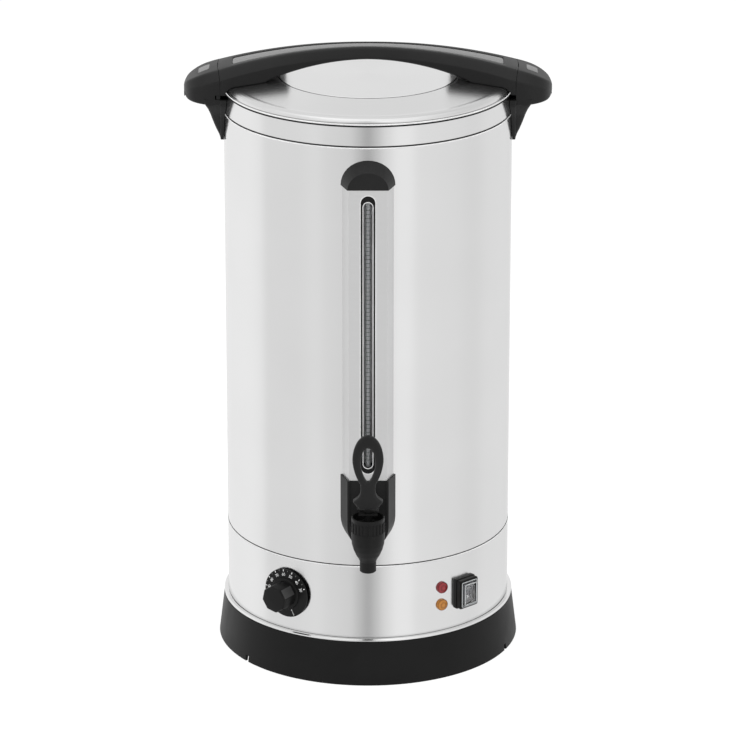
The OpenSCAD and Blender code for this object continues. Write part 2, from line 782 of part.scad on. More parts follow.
module lid_shell() {
    top = lid_line(0);
    under = lid_line(-sheet_t);
    color(steel) difference() {
        revolve(concat(
            top,
            [[body_r - 0.5, hem_z + hem_t], [body_r, hem_z + hem_t - 0.5], [body_r, hem_z + 0.4],
             [body_r - 0.4, hem_z], [body_r - sheet_t, hem_z], [body_r - sheet_t, rim_z + seal_t]],
            [[plateau_r + shoulder_run - sheet_t, rim_z + seal_t]],
            [for (i = [len(under) - 1:-1:0]) under[i]]
        ));
        arch_screw_axes() cylinder(r = screw_r + 0.4, h = far, center = true);
    }
}

module lid_pan() {
    pan_r = plateau_r + 1.9;
    low = rim_z - pan_depth;
    high = plateau_z - sheet_t - 0.5;
    color(steel) revolve([
        [0, low], [pan_r - 3, low], [pan_r - 0.9, low + 0.9], [pan_r, low + 3], [pan_r, high],
        [pan_r - sheet_t, high], [pan_r - sheet_t, low + 3.4], [pan_r - 3.4, low + sheet_t],
        [0, low + sheet_t]
    ]);
}

module lid_seal() {
    inner = tank_r - 0.4;
    outer = body_r - sheet_t - 0.6;
    color(silicone) revolve([
        [inner, rim_z], [outer, rim_z], [outer, rim_z + seal_t], [inner, rim_z + seal_t]
    ]);
}

// Heights and half widths of the arch over x
function arch_top(x) = arch_top_z - arch_radius + sqrt(arch_radius * arch_radius - x * x);
function arch_under(x) = let (a = abs(x)) a > foot_x
    ? foot_z - 0.28 * (a - foot_x)
    : arch_top_z - arch_t - under_radius + sqrt(under_radius * under_radius - a * a);
function arch_half(x) = arch_half_w + (arch_end_half_w - arch_half_w) * pow(abs(x) / joint_r, 1.45);
function arch_shoulder(x) = arch_half(x) + 6.5 + 4 * abs(x) / joint_r;

// One ring of the arch's section: soft top, sloped flanks, a ledge and upright lower sides
function handle_ring(x, top, ledge, under, half, shoulder) = let (
    right = [
        [shoulder - 1.2, under], [shoulder, under + 1.2], [shoulder, ledge],
        [shoulder - 0.8, ledge + 0.5], [half + 0.9, top - 1.6], [half - 1.2, top]
    ]
) concat(
    [for (p = right) [x, p[0], p[1]]],
    [for (i = [len(right) - 1:-1:0]) [x, -right[i][0], right[i][1]]]
);

// What the arch stands on: the lid, and below its hem the band with room to turn
module lid_envelope() revolve(concat(
    [for (p = lid_line(0.05)) p],
    [[body_r + clear, hem_z + hem_t + 0.05], [body_r + clear, rim_z - 60], [0, rim_z - 60]]
));

module arch_screw_axes() {
    x = plateau_r - 14;
    y = 10;
    z = plateau_z + lid_slope * (plateau_r - norm([x, y]));
    for (s = [-1, 1], t = [-1, 1]) translate([s * x, t * y, z]) children();
}

// Plan of the inlay on top, or of its pocket, over half lengths
module inlay_plan(half_l, spare, groove) {
    steps = [for (i = [-12:12]) half_l * i / 12];
    polygon(concat(
        [for (x = steps) [x * (1 + spare / half_l), -0.62 * arch_half(x) - spare]],
        [for (i = [24:-1:0]) [steps[i] * (1 + spare / half_l), 0.42 * arch_half(steps[i]) + spare + groove]]
    ));
}

// Curved layer below the arch's top, from low to high above it
module arch_layer(low, high) translate([0, 0, arch_top_z - arch_radius]) rotate([90, 0, 0])
    difference() {
        cylinder(r = arch_radius + high, h = 120, center = true, $fn = 720);
        cylinder(r = arch_radius + low, h = 130, center = true, $fn = 720);
    }

inlay_half = joint_r - 15;
inlay_t = 1.2;

module lug(spare) intersection() {
    translate([joint_r - 12, 19 - spare, lug_z - spare])
        cube([12 + lug_out + spare, 13 + 3 * spare, lug_t + 2 * spare]);
    cylinder(r = joint_r + lug_out + spare, h = far * 2);
}

module arch_handle() {
    half_steps = 20;
    outer = joint_r - joint_run / 2;
    xs = [for (i = [-half_steps:half_steps]) joint_r * i / half_steps];
    color(black) difference() {
        union() {
            intersection() {
                union() {
                    loft([for (x = xs) handle_ring(x, arch_top(x), arch_top(x) - ledge_drop,
                        arch_under(x), arch_half(x), arch_shoulder(x))]);
                    for (s = [0, 180]) rotate(s) translate([0, 0, leg_z]) linear_extrude(16) polygon([
                        [leg_x, -arch_shoulder(leg_x) + 0.3], [joint_r, -arch_shoulder(joint_r) + 0.3],
                        [joint_r, arch_shoulder(joint_r) - 0.3], [leg_x, arch_shoulder(leg_x) - 0.3]
                    ]);
                }
                body_cylinder(outer);
            }
            for (s = [0, 180]) rotate(s) intersection() {
                lug(0);
                translate([0, 0, lug_z]) cube([far, far, far]);
            }
            for (s = [0, 180]) rotate(s) intersection() {
                translate([joint_r - 12, 19, lug_z]) cube([12, 13, 10]);
                body_cylinder(outer);
            }
        }
        lid_envelope();
        arch_screw_axes() translate([0, 0, -10]) cylinder(r = screw_r + fit, h = 18);
        intersection() {
            arch_layer(-inlay_t, 5);
            translate([0, 0, rim_z]) linear_extrude(far) inlay_plan(inlay_half, fit, 1.6);
        }
    }
}

module arch_inlay() {
    color(grey_inlay) intersection() {
        arch_layer(-inlay_t, 0.1);
        translate([0, 0, rim_z]) linear_extrude(far) inlay_plan(inlay_half, 0, 0);
    }
}

module arch_screws() {
    color(steel) arch_screw_axes() {
        translate([0, 0, -sheet_t - 2.5]) cylinder(r = 3.4, h = 2);
        translate([0, 0, -sheet_t - 1]) cylinder(r = screw_r, h = 8.5);
    }
}

// ---------- side handles ----------

// Share of the way from the joint to the tip
function way(x) = max(0, min(1, (x - joint_r) / handle_reach));
function grip_round(x) = sqrt(max(0.02, 1 - pow(way(x), 3.2)));
function grip_top(x) = arch_top(x) - 6 * pow(way(x), 3);
function grip_under(x) = rim_z - handle_drop + 4 * way(x) + 1.5 * pow(way(x), 8);

module side_handle() {
    xs = concat([for (i = [-1:8]) joint_r + handle_reach * i * 0.1],
                [for (s = [0.86, 0.91, 0.95, 0.98, 1]) joint_r + handle_reach * s]);
    w = arch_shoulder(joint_r);
    arm_low = rim_z - arm_h;
    arm_span = arm_h - handle_drop;
    arm_out = joint_out + 5.2;
    // outer line and half width of the arm at shares of its height
    arm = [[0, 0.6, 12], [0.23, 0.3 * arm_out, 14], [0.51, 0.62 * arm_out, 18], [0.776, 0.83 * arm_out, 24],
           [0.95, arm_out, 30], [1.05, arm_out + 4.8, w], [1.16, arm_out + 9, w]];
    difference() {
        union() {
            loft([for (x = xs) handle_ring(x, grip_top(x), grip_top(x) - ledge_drop, grip_under(x),
                arch_half(joint_r) * grip_round(x), w * grip_round(x))]);
            intersection() {
                rotate([90, 0, 0]) linear_extrude(4 * w, center = true) polygon(concat(
                    [[body_r - 1, arm_low + 1.16 * arm_span], [body_r - 1, arm_low]],
                    [for (p = arm) [body_r + p[1], arm_low + p[0] * arm_span]]
                ));
                rotate([90, 0, 90]) linear_extrude(far) polygon(concat(
                    [for (p = arm) [p[2], arm_low + p[0] * arm_span]],
                    [for (i = [len(arm) - 1:-1:0]) [-arm[i][2], arm_low + arm[i][0] * arm_span]]
                ));
            }
        }
        body_cylinder(body_r + clear - 0.1);
        // the arch's leg turns past here
        translate([0, 0, lug_z - 0.4]) cylinder(r = joint_r + joint_run / 2, h = far, $fn = 180);
        // pocket under which the arch's lug locks
        intersection() {
            translate([0, 18.6, lug_z - 0.4]) cube([far, 40, lug_t + 0.8]);
            cylinder(r = joint_r + lug_out + 0.6, h = 2 * far);
        }
        for (drop = handle_screw_drops) translate([0, 0, rim_z - drop]) rotate([0, 90, 0])
            cylinder(r = screw_r + fit, h = body_r + handle_screw_in + 0.6);
        grip_inlay_block(fit);
    }
}

module grip_inlay_block(spare) intersection() {
    arch_layer(-inlay_t - 1 - spare, 5);
    translate([joint_r + 8 - spare, -9 - spare, rim_z]) cube([11 + 2 * spare, 18 + 2 * spare, 60]);
}

module side_handle_right() color(black) side_handle();

module side_handle_left() color(black) rotate(180) side_handle();

module side_handle_inlays() {
    color(grey_inlay) for (s = [0, 180]) rotate(s) intersection() {
        grip_inlay_block(0);
        arch_layer(-inlay_t - 1, -0.3);
    }
}

module side_handle_screws() {
    head_r = body_r - sheet_t - 2.6;
    color(steel) handle_screw_axes() {
        translate([0, 0, head_r]) intersection() {
            cylinder(r = 3.2, h = 2.2);
            translate([0, 0, -head_r]) rotate([0, -90, 0]) body_cylinder(body_r - sheet_t - fit);
        }
        translate([0, 0, head_r + 1]) cylinder(r = screw_r, h = 1.6 + sheet_t + handle_screw_in);
    }
}

// ---------- tap ----------

module at_tap() translate([0, tap_y, 0]) children();

module tap_body() {
    waist_z = spout_z + 11;
    spout_r = spout_d / 2;
    color(black) difference() {
        union() {
            at_tap() revolve([
                [0, spout_z], [spout_r - 0.8, spout_z], [spout_r, spout_z + 0.8], [spout_r, waist_z],
                [spout_r + 1.3, waist_z + 3], [spout_r + 3.8, waist_z + 7], [tap_r - 2.2, waist_z + 13],
                [tap_r - 0.6, waist_z + 19], [tap_r, waist_z + 25], [tap_r, tap_top], [0, tap_top]
            ]);
            difference() {
                union() {
                    bar_y(shank_r + 2.6, tap_y, -body_r - 3, shank_z);
                    bar_y(shank_r, tap_y, -tank_r + 14, shank_z);
                }
                at_tap() translate([0, 0, tap_top]) cylinder(r = tap_r + 0.6, h = far);
            }
        }
        at_tap() {
            translate([0, 0, spout_z - 1]) cylinder(r = spout_r - 2.4, h = far);
            translate([0, 0, seat_z]) cylinder(r1 = spout_r - 2.4, r2 = chamber_r, h = 3);
            translate([0, 0, seat_z + 3]) cylinder(r = chamber_r, h = far);
        }
        bar_y(shank_r - 3.2, tap_y, 0, shank_z);
    }
}

module tap_bonnet() {
    rim_r = tap_r - 0.3;
    ribs = 26;
    color(black) at_tap() difference() {
        union() {
            revolve([
                [0, tap_top - 4], [chamber_r - fit, tap_top - 4], [chamber_r - fit, tap_top + fit / 2],
                [rim_r, tap_top + fit / 2], [rim_r, bonnet_top - 0.6], [rim_r - 0.6, bonnet_top],
                [rim_r - 1.6, bonnet_top], [rim_r - 2.2, bonnet_floor], [0, bonnet_floor]
            ]);
            for (i = [0:ribs - 1]) rotate(i * 360 / ribs) translate([rim_r - 0.5, -0.7, tap_top + 0.4])
                cube([1.1, 1.4, 10.2]);
            // post that guides the stem, with a crosspiece that carries the lever's two cams
            translate([0, 0, bonnet_floor - 1]) cylinder(r = guide_r, h = guide_top - bonnet_floor + 1);
            translate([-9.4, -cam_gain - 1.4, guide_top - 1.8]) cube([18.8, cam_gain + 5.4, 1.8]);
        }
        cylinder(r = stem_r + run_fit, h = far);
        translate([0, 0, tap_top - 5]) cylinder(r = chamber_r - 4, h = 8.5);
    }
}

spring_low = tap_top - 6.4;
spring_high = tap_top + 3.4;

module tap_stem() {
    color([0.75, 0.75, 0.73]) at_tap() difference() {
        union() {
            translate([0, 0, seat_z + 4]) cylinder(r = stem_r, h = pin_z - seat_z - 4);
            translate([0, 0, spring_low - 1.3]) cylinder(r = 7, h = 1.2);
            translate([0, 0, guide_top + 0.4]) cylinder(r = head_r, h = pin_z + 4 - guide_top - 0.4);
        }
        translate([0, 0, pin_z]) bar_x(pin_d / 2 + run_fit, 20);
    }
}

module tap_seat_cup() {
    top = spring_low - 1.4;
    color(silicone) at_tap() difference() {
        revolve([
            [0, seat_z + 1.9], [6.4, seat_z + 1.9], [8.4, seat_z + 3.4], [8.6, top - 2], [6, top], [0, top]
        ]);
        translate([0, 0, seat_z + 4]) cylinder(r = stem_r + fit, h = far);
    }
}

// Coil of the closing spring, one tube swept along a helix
module tap_spring() {
    turns = 4;
    wire = 0.5;
    coil_r = 4.8;
    sides = 6;
    steps = 24 * turns;
    rise = (spring_high - spring_low - 2 * wire - 0.2) / steps;
    low = spring_low + wire + 0.1;
    rings = [for (i = [0:steps]) let (a = i * 360 / 24) [
        for (j = [0:sides - 1]) let (b = -j * 360 / sides, r = coil_r + wire * cos(b))
            [r * cos(a), r * sin(a), low + rise * i + wire * sin(b)]
    ]];
    color(steel) at_tap() loft(rings);
}

// An arc of an oval with half width a and half height b about [0, y]
function oval_arc(a, b, y, from, step, to) = [for (t = [from:step:to]) [a * cos(t), y + b * sin(t)]];
function mirrored(points) = [for (i = [len(points) - 1:-1:0]) [-points[i][0], points[i][1]]];

// Outline of the lever from the front, about its pin: loop, neck and flared skirt
module lever_front() {
    half = lever_w / 2;
    loop_y = lever_h - 26;
    hole_y = lever_h - 30;
    right = concat(
        [[9.6, -cam_low], [11.2, 1], [14, 3.4], [14.8, 5], [14, 6.6], [10.4, 9.4], [7.9, 13.4], [7.3, 18.5],
         [7.9, 23.6], [half * 0.64, loop_y - 20]],
        oval_arc(half, 26, loop_y, -25, 11.5, 79)
    );
    hole = concat([[4.2, hole_y - 19.4], [5.2, hole_y - 18.6]], oval_arc(7.1, 17, hole_y, -30, 10, 80));
    difference() {
        polygon(concat(right, [[0, lever_h]], mirrored(right)));
        polygon(concat(hole, [[0, hole_y + 17]], mirrored(hole)));
    }
}

// Outline of the lever from the side, about its pin: thin loop above, and a cam below whose
// involute toe rolls on the crosspiece, so that the pin rises evenly as the lever turns
module lever_side() {
    half = lever_t / 2;
    toe = [for (a = [tilt:-8:0]) let (h = cam_low + cam_gain * a * PI / 180)
        [-h * sin(a) - cam_gain * cos(a), -h * cos(a) + cam_gain * sin(a)]];
    polygon(concat(
        [[half - 1, lever_h + 1], [1 - half, lever_h + 1], [-half, lever_h - 3], [-half, 20],
         [-half - 1.4, 13], [-9, 7.5], [-10.6, 4.6], [-10.2, 0.5]],
        toe,
        [for (a = [42:12:66]) [(cam_low + 1) * sin(a), -(cam_low + 1) * cos(a)]],
        [[9.6, 0.5], [10.6, 4.6], [9, 7.5], [half + 1.4, 13], [half, 20], [half, lever_h - 3]]
    ));
}

module tap_lever() {
    slot_half = head_r + 0.3;
    color(black) at_tap() translate([0, 0, pin_z]) difference() {
        intersection() {
            rotate([90, 0, 0]) linear_extrude(60, center = true) lever_front();
            rotate([90, 0, 90]) linear_extrude(60, center = true) lever_side();
        }
        // room for the stem's head between the two cheeks
        bar_x(6.4, slot_half);
        translate([-slot_half, -20, -20]) cube([2 * slot_half, 40, 20]);
        bar_x(pin_d / 2 + fit / 2, 30);
    }
}

module tap_pin() {
    color(steel) at_tap() translate([0, 0, pin_z]) bar_x(pin_d / 2, 9.4);
}

module tap_washers() {
    inner = tank_r - sheet_t - fit;
    color(silicone) difference() {
        union() {
            intersection() {
                bar_y(15, -tank_r - 5, -tank_r + 3.6, shank_z);
                body_cylinder(inner);
            }
            difference() {
                intersection() {
                    bar_y(14.5, -far, 0, shank_z);
                    body_cylinder(body_r - sheet_t - fit);
                }
                body_cylinder(tank_r + fit);
            }
            difference() {
                bar_y(13.4, -body_r - 3 + fit, -body_r + 4, shank_z);
                body_cylinder(body_r + fit);
            }
        }
        bar_y(shank_r + fit, -far, 0, shank_z);
    }
}

module tap_nut() {
    color(brass) translate([0, -tank_r + 3.7 + 6, shank_z]) rotate([90, 0, 0]) difference() {
        cylinder(r = shank_r + 6, h = 6, $fn = 6);
        translate([0, 0, -1]) cylinder(r = shank_r + fit, h = 20);
    }
}

base_skirt();
base_plate();
feet();
base_screws();
base_ring();
housing_shell();
outer_shell();
tank();
heater_plate();
heater_tube();
boil_dry_cutout();
thermostat_body();
thermostat_screws();
thermostat_probe();
thermostat_shaft();
knob();
pilot_lamp([0.75, 0.10, 0.12], lamp_z);  // pilot_lamp_red
pilot_lamp([0.90, 0.60, 0.20], lamp_z - lamp_pitch);  // pilot_lamp_amber
lamp_nuts();
switch_body();
switch_bezel();
switch_cover();
rocker();
terminal_block();
cord_gland();
gauge_column();
gauge_cap_top();
gauge_cap_bottom();
gauge_frame();
gauge_trim();
gauge_tube();
gauge_scale();
gauge_elbow_top();
gauge_elbow_bottom();
gauge_nuts();
side_handle_left();
side_handle_right();
side_handle_inlays();
side_handle_screws();
lid_shell();
lid_pan();
lid_seal();
arch_handle();
arch_inlay();
arch_screws();
tap_body();
tap_bonnet();
tap_washers();
tap_nut();
tap_stem();
tap_seat_cup();
tap_spring();
tap_lever();
tap_pin();
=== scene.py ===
# %% [markdown]
# # A hot water urn
# This notebook dresses a steel hot water urn: a brushed drum on a black base, a lid with an arch
# handle, a sight gauge in a bright column, a lever tap, and a knob, two lamps and a switch. The
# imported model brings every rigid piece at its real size. What Blender adds is the finish of each
# surface, the softly rounded mouldings that a hand touches, the dial's numbers and the gauge's marks.

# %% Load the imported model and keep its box
import json
import math

import bmesh
import bpy
from mathutils import Matrix, Vector
from mathutils.bvhtree import BVHTree


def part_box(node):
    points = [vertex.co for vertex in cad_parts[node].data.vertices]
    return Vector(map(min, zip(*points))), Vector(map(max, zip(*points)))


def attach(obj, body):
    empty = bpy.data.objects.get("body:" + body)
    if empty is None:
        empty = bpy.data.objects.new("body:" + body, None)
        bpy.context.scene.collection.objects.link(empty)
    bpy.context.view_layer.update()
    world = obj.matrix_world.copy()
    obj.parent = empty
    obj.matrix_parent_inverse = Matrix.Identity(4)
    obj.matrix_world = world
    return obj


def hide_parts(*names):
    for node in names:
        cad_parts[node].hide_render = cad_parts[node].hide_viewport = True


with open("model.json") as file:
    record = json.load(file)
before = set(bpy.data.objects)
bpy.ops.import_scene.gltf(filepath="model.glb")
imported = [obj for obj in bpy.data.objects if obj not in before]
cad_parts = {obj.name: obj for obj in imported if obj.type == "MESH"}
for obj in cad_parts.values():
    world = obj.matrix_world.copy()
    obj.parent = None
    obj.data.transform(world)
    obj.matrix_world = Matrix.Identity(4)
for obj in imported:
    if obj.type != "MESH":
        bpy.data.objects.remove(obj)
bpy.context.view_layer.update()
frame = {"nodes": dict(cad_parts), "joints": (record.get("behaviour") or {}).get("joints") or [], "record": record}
nodes = frame["nodes"]
MM = 0.001

# %% [markdown]
# ## The sizes that the new pieces share
# The pieces made here sit on the model's own. Their places could be typed in again, but a typed
# number goes stale when the model changes. So they are read from its nodes and joints: the drum's
# radius, the height of its rim, the pin of the tap's lever, and the middle of the knob and rocker.

# %% Measure the model
def low(node):
    """The lowest corner of a node's box."""
    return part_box(node)[0]


def high(node):
    """The highest corner of a node's box."""
    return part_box(node)[1]


drum_r = high("outer_shell").x
rim_z = high("tank").z
joint_places = {joint["name"]: joint for joint in frame["joints"]}
tap_pin = Vector(joint_places["tap_lever_tilt"]["pos_m"])
knob_axis = Vector(joint_places["knob_turn"]["axis"]).normalized()
knob_place = Vector(joint_places["knob_turn"]["pos_m"])
rocker_place = Vector(joint_places["rocker_tilt"]["pos_m"])
print("drum radius", round(drum_r, 4), "rim at", round(rim_z, 4))

# %% [markdown]
# ## The camera
# The photograph was taken from above the lid and square to the tap, from over four metres away,
# and its upright lines are almost parallel. A shifted lens could hold them quite parallel, but it
# would push the urn out of the frame in views from other sides. A long lens from far off comes
# within a few pixels without a shift. Its length is given for a sensor 36 mm wide.

# %% Place the camera
photo_lens, photo_distance, photo_height, photo_tilt = 217.62, 4.304, 1.8089, 19.469
camera_data = bpy.data.cameras.new("photo_camera")
camera_data.lens = photo_lens
camera_data.sensor_width = 36
camera_data.clip_end = 60
camera = bpy.data.objects.new("photo_camera", camera_data)
camera.location = (0, -photo_distance, photo_height)
camera.rotation_euler = (math.pi / 2 - math.radians(photo_tilt), 0, 0)
bpy.context.scene.collection.objects.link(camera)
bpy.context.scene.camera = camera
bpy.context.scene.view_settings.view_transform = "Standard"
print("camera at", [round(v, 3) for v in camera.location])

# %% [markdown]
# ## Small helpers for materials
# A material here is a Principled shader with a few nodes in front of it. Nodes could be placed and
# wired one line at a time, but that soon hides what a recipe does. `add_node` places a node, sets it
# up, and wires or fills its inputs by name, or by number with an underscore before it.

# %% Node helpers
def add_node(tree, kind, settings=None, **inputs):
    """Places a node; _0 is its first input, and From_Min its input From Min."""
    node = tree.nodes.new(kind)
    for name, value in (settings or {}).items():
        setattr(node, name, value)
    for name, value in inputs.items():
        socket = node.inputs[int(name[1:])] if name[0] == "_" else node.inputs[name.replace("_", " ")]
        if isinstance(value, bpy.types.NodeSocket):
            tree.links.new(value, socket)
        else:
            socket.default_value = value
    return node


def math_node(tree, operation, first, second=0.0):
    """One sum on one or two values or sockets."""
    return add_node(tree, "ShaderNodeMath", {"operation": operation}, _0=first, _1=second).outputs[0]


print("helpers for nodes: add_node and math_node")

# %% [markdown]
# ## Effects that several materials share
# Brush marks and moulded grain turn up in many finishes. They could be copied into each material,
# but a node group is built once and then placed with its own values, so that one mend reaches all.
# A group here gives out masks alone, and the shader stays in the material, where an export finds it.

# %% Group helpers
def new_group(name, inputs, outputs):
    """An empty node group with its sockets, and the two nodes that carry them inside it."""
    group = bpy.data.node_groups.new(name, "ShaderNodeTree")
    for socket, value in inputs.items():
        made = group.interface.new_socket(socket, in_out="INPUT", socket_type="NodeSocketFloat")
        made.default_value = value
    for socket in outputs:
        group.interface.new_socket(socket, in_out="OUTPUT", socket_type="NodeSocketFloat")
    return group, group.nodes.new("NodeGroupInput"), group.nodes.new("NodeGroupOutput")


def place_group(tree, group, **inputs):
    """Places a group in a material, with its own values."""
    return add_node(tree, "ShaderNodeGroup", {"node_tree": group}, **inputs)


print("helpers for groups: new_group and place_group")

# %% [markdown]
# ## Brush marks
# Sheet steel for a drum is brushed along its length and then rolled, so the marks run round the
# axis. A picture of brushed steel could be wrapped round the drum, but it would repeat, and blur
# from close by. A noise does neither. It changes slowly with the angle and quickly with height and
# radius, so the same group serves the drum (height counts) and the spun lid (radius counts).

# %% Group: marks that run round the axis
def brush_group():
    """Marks that run round the axis, and large faint clouds."""
    group, sockets, out = new_group("Brush marks", {"Fineness": 1.0}, ["Marks", "Clouds"])
    place = add_node(group, "ShaderNodeTexCoord").outputs["Object"]
    split = add_node(group, "ShaderNodeSeparateXYZ", _0=place).outputs
    radius = math_node(group, "SQRT", math_node(
        group, "ADD", math_node(group, "MULTIPLY", split[0], split[0]),
        math_node(group, "MULTIPLY", split[1], split[1])))
    back = math_node(group, "MULTIPLY", split[1], -1.0)
    angle = math_node(group, "ARCTAN2", split[0], back)
    fine = sockets.outputs["Fineness"]
    row = add_node(group, "ShaderNodeCombineXYZ", _0=math_node(group, "MULTIPLY", angle, 2.2),
                   _1=math_node(group, "MULTIPLY", math_node(group, "MULTIPLY", split[2], 1500.0), fine),
                   _2=math_node(group, "MULTIPLY", math_node(group, "MULTIPLY", radius, 1500.0), fine))
    marks = add_node(group, "ShaderNodeTexNoise", Vector=row.outputs[0], Scale=1.0, Detail=3.0, Roughness=0.7)
    clouds = add_node(group, "ShaderNodeTexNoise", Vector=place, Scale=9.0, Detail=2.0)
    group.links.new(marks.outputs[0], out.inputs["Marks"])
    group.links.new(clouds.outputs[0], out.inputs["Clouds"])
    return group


brush_marks = brush_group()
print("group", brush_marks.name)

# %% [markdown]
# ## The grain of moulded plastic
# A mould's skin leaves a fine pebble on plastic, and handling polishes it here and there. Pebbles
# in the mesh itself would take millions of faces. So one noise gives the pebble's height to a bump,
# and another, far larger, gives the worn patches.

# %% Group: pebble and handling
def grain_group():
    """The fine pebble of a mould, and large patches of wear."""
    group, sockets, out = new_group("Moulded grain", {"Size": 1.0}, ["Pebble", "Handling"])
    place = add_node(group, "ShaderNodeTexCoord").outputs["Object"]
    pebble = add_node(group, "ShaderNodeTexNoise", Vector=place, Detail=2.0, Roughness=0.55,
                      Scale=math_node(group, "DIVIDE", 2600.0, sockets.outputs["Size"]))
    handling = add_node(group, "ShaderNodeTexNoise", Vector=place, Scale=22.0, Detail=3.0)
    group.links.new(pebble.outputs[0], out.inputs["Pebble"])
    group.links.new(handling.outputs[0], out.inputs["Handling"])
    return group


moulded_grain = grain_group()
print("group", moulded_grain.name)

# %% [markdown]
# ## Recipes for steel, plastic and clear parts
# Each finish could be built by hand, but then black plastic in two places would soon differ. Three
# recipes serve all finishes here, and each ends in one Principled shader. What is the same all over
# a surface sits on the shader's own sockets; what varies comes from a group through a Map Range.

# %% Start a material
def new_material(name, settings):
    """A material with a Principled shader, whose own sockets take the settings."""
    material = bpy.data.materials.new(name)
    material.use_nodes = True
    tree = material.node_tree
    shader = tree.nodes["Principled BSDF"]
    for socket, value in settings.items():
        shader.inputs[socket].default_value = value
    return material, tree, shader


def spread(tree, noise, lowest, highest):
    """Spreads a noise, which lies mostly between 0.3 and 0.7, over a range of values."""
    return add_node(tree, "ShaderNodeMapRange", Value=noise, From_Min=0.3, From_Max=0.7,
                    To_Min=lowest, To_Max=highest).outputs[0]


print("helpers for recipes: new_material and spread")

# %% Recipe: steel
def steel(name, tint, rough, anisotropy=0.0, fineness=1.0, marks=0.05, depth=0.02, swing=0.15):
    """A metal; marks, depth and swing say how far the brush marks change colour, height and gloss."""
    material, tree, shader = new_material(name, {"Metallic": 1.0, "Anisotropic": anisotropy,
                                                 "Anisotropic Rotation": 0.25})
    brush = place_group(tree, brush_marks, Fineness=fineness)
    level = spread(tree, brush.outputs["Marks"], 1 - marks, 1 + marks)
    cloud = spread(tree, brush.outputs["Clouds"], 0.985, 1.015)
    colour = add_node(tree, "ShaderNodeVectorMath", {"operation": "SCALE"}, _0=tint,
                      Scale=math_node(tree, "MULTIPLY", level, cloud))
    tree.links.new(colour.outputs[0], shader.inputs["Base Color"])
    tree.links.new(spread(tree, brush.outputs["Marks"], rough * (1 - swing), rough * (1 + swing)),
                   shader.inputs["Roughness"])
    bump = add_node(tree, "ShaderNodeBump", Height=brush.outputs["Marks"], Strength=depth, Distance=0.0002)
    tree.links.new(bump.outputs[0], shader.inputs["Normal"])
    if anisotropy:
        tangent = add_node(tree, "ShaderNodeTangent", {"direction_type": "RADIAL", "axis": "Z"})
        tree.links.new(tangent.outputs[0], shader.inputs["Tangent"])
    return material


print("recipe for steel")

# %% Recipe: plastic
def plastic(name, tint, rough, grain=1.0, depth=0.12, specular=0.22):
    """A moulded plastic, with its pebble's size and depth."""
    material, tree, shader = new_material(name, {"Specular IOR Level": specular})
    skin = place_group(tree, moulded_grain, Size=grain)
    worn = spread(tree, skin.outputs["Handling"], 0.88, 1.12)
    colour = add_node(tree, "ShaderNodeVectorMath", {"operation": "SCALE"}, _0=tint, Scale=worn)
    tree.links.new(colour.outputs[0], shader.inputs["Base Color"])
    tree.links.new(spread(tree, skin.outputs["Handling"], rough * 0.85, rough * 1.15),
                   shader.inputs["Roughness"])
    bump = add_node(tree, "ShaderNodeBump", Height=skin.outputs["Pebble"], Strength=depth, Distance=0.0001)
    tree.links.new(bump.outputs[0], shader.inputs["Normal"])
    return material


print("recipe for plastic")

# %% Recipe: clear plastic and glass
def clear(name, tint, rough, see_through, through=1.0):
    """A clear part: alpha lets light pass straight, transmission bends it."""
    material, tree, shader = new_material(name, {"IOR": 1.45, "Transmission Weight": through,
                                                 "Base Color": (*tint, 1), "Alpha": see_through})
    skin = place_group(tree, moulded_grain, Size=4.0)
    tree.links.new(spread(tree, skin.outputs["Handling"], rough * 0.7, rough * 1.3),
                   shader.inputs["Roughness"])
    return material


print("recipe for clear parts")

# %% [markdown]
# ## The steels of the urn
# The drum is brushed, the lid is spun, the column is satin and the lip on the base is bright: four
# steels side by side. One steel for all would look like a single stamped sheet. Each row below
# gives the colour, the roughness and what else differs from the recipe. Anisotropy draws the
# highlight out across the brush marks, which is why a steel drum shows upright bands of light.

# %% Make the steels
def grey(level):
    """The same level of red, green and blue."""
    return level, level, level


steels = {
    "brushed_steel": (grey(0.805), 0.19, dict(anisotropy=0.5, marks=0.008, depth=0.003, swing=0.04)),
    "spun_steel": (grey(0.80), 0.24, dict(anisotropy=0.3, fineness=0.8, marks=0.012, depth=0.004,
                                          swing=0.05)),
    "bright_steel": (grey(0.84), 0.14, dict(fineness=0.5, marks=0.02)),
    "column_steel": (grey(0.84), 0.42, dict(fineness=0.4, marks=0.01, depth=0.003, swing=0.04)),
    "plain_steel": (grey(0.62), 0.30, dict(fineness=0.3, marks=0.04)),
    # near-black steel: painted shade on the tap's stem, which lies in shadow between the lever's cheeks
    "stem_shade_steel": (grey(0.02), 0.6, dict(fineness=0.3, marks=0.04)),
    # mid-grey steel: painted shade in the fold just inside the lid's hem
    "crease_shade_steel": (grey(0.25), 0.4, dict(fineness=0.4, marks=0.02)),
    "heater_aluminium": ((0.60, 0.60, 0.61), 0.45, dict(fineness=0.1, marks=0.1)),
    "heater_sheath": ((0.22, 0.20, 0.19), 0.42, dict(fineness=0.2, marks=0.15)),
    "brass": ((0.70, 0.52, 0.24), 0.25, dict(fineness=0.4, marks=0.05)),
}
finishes = {name: steel(name, tint, rough, **rest) for name, (tint, rough, rest) in steels.items()}
print(len(finishes), "metals")
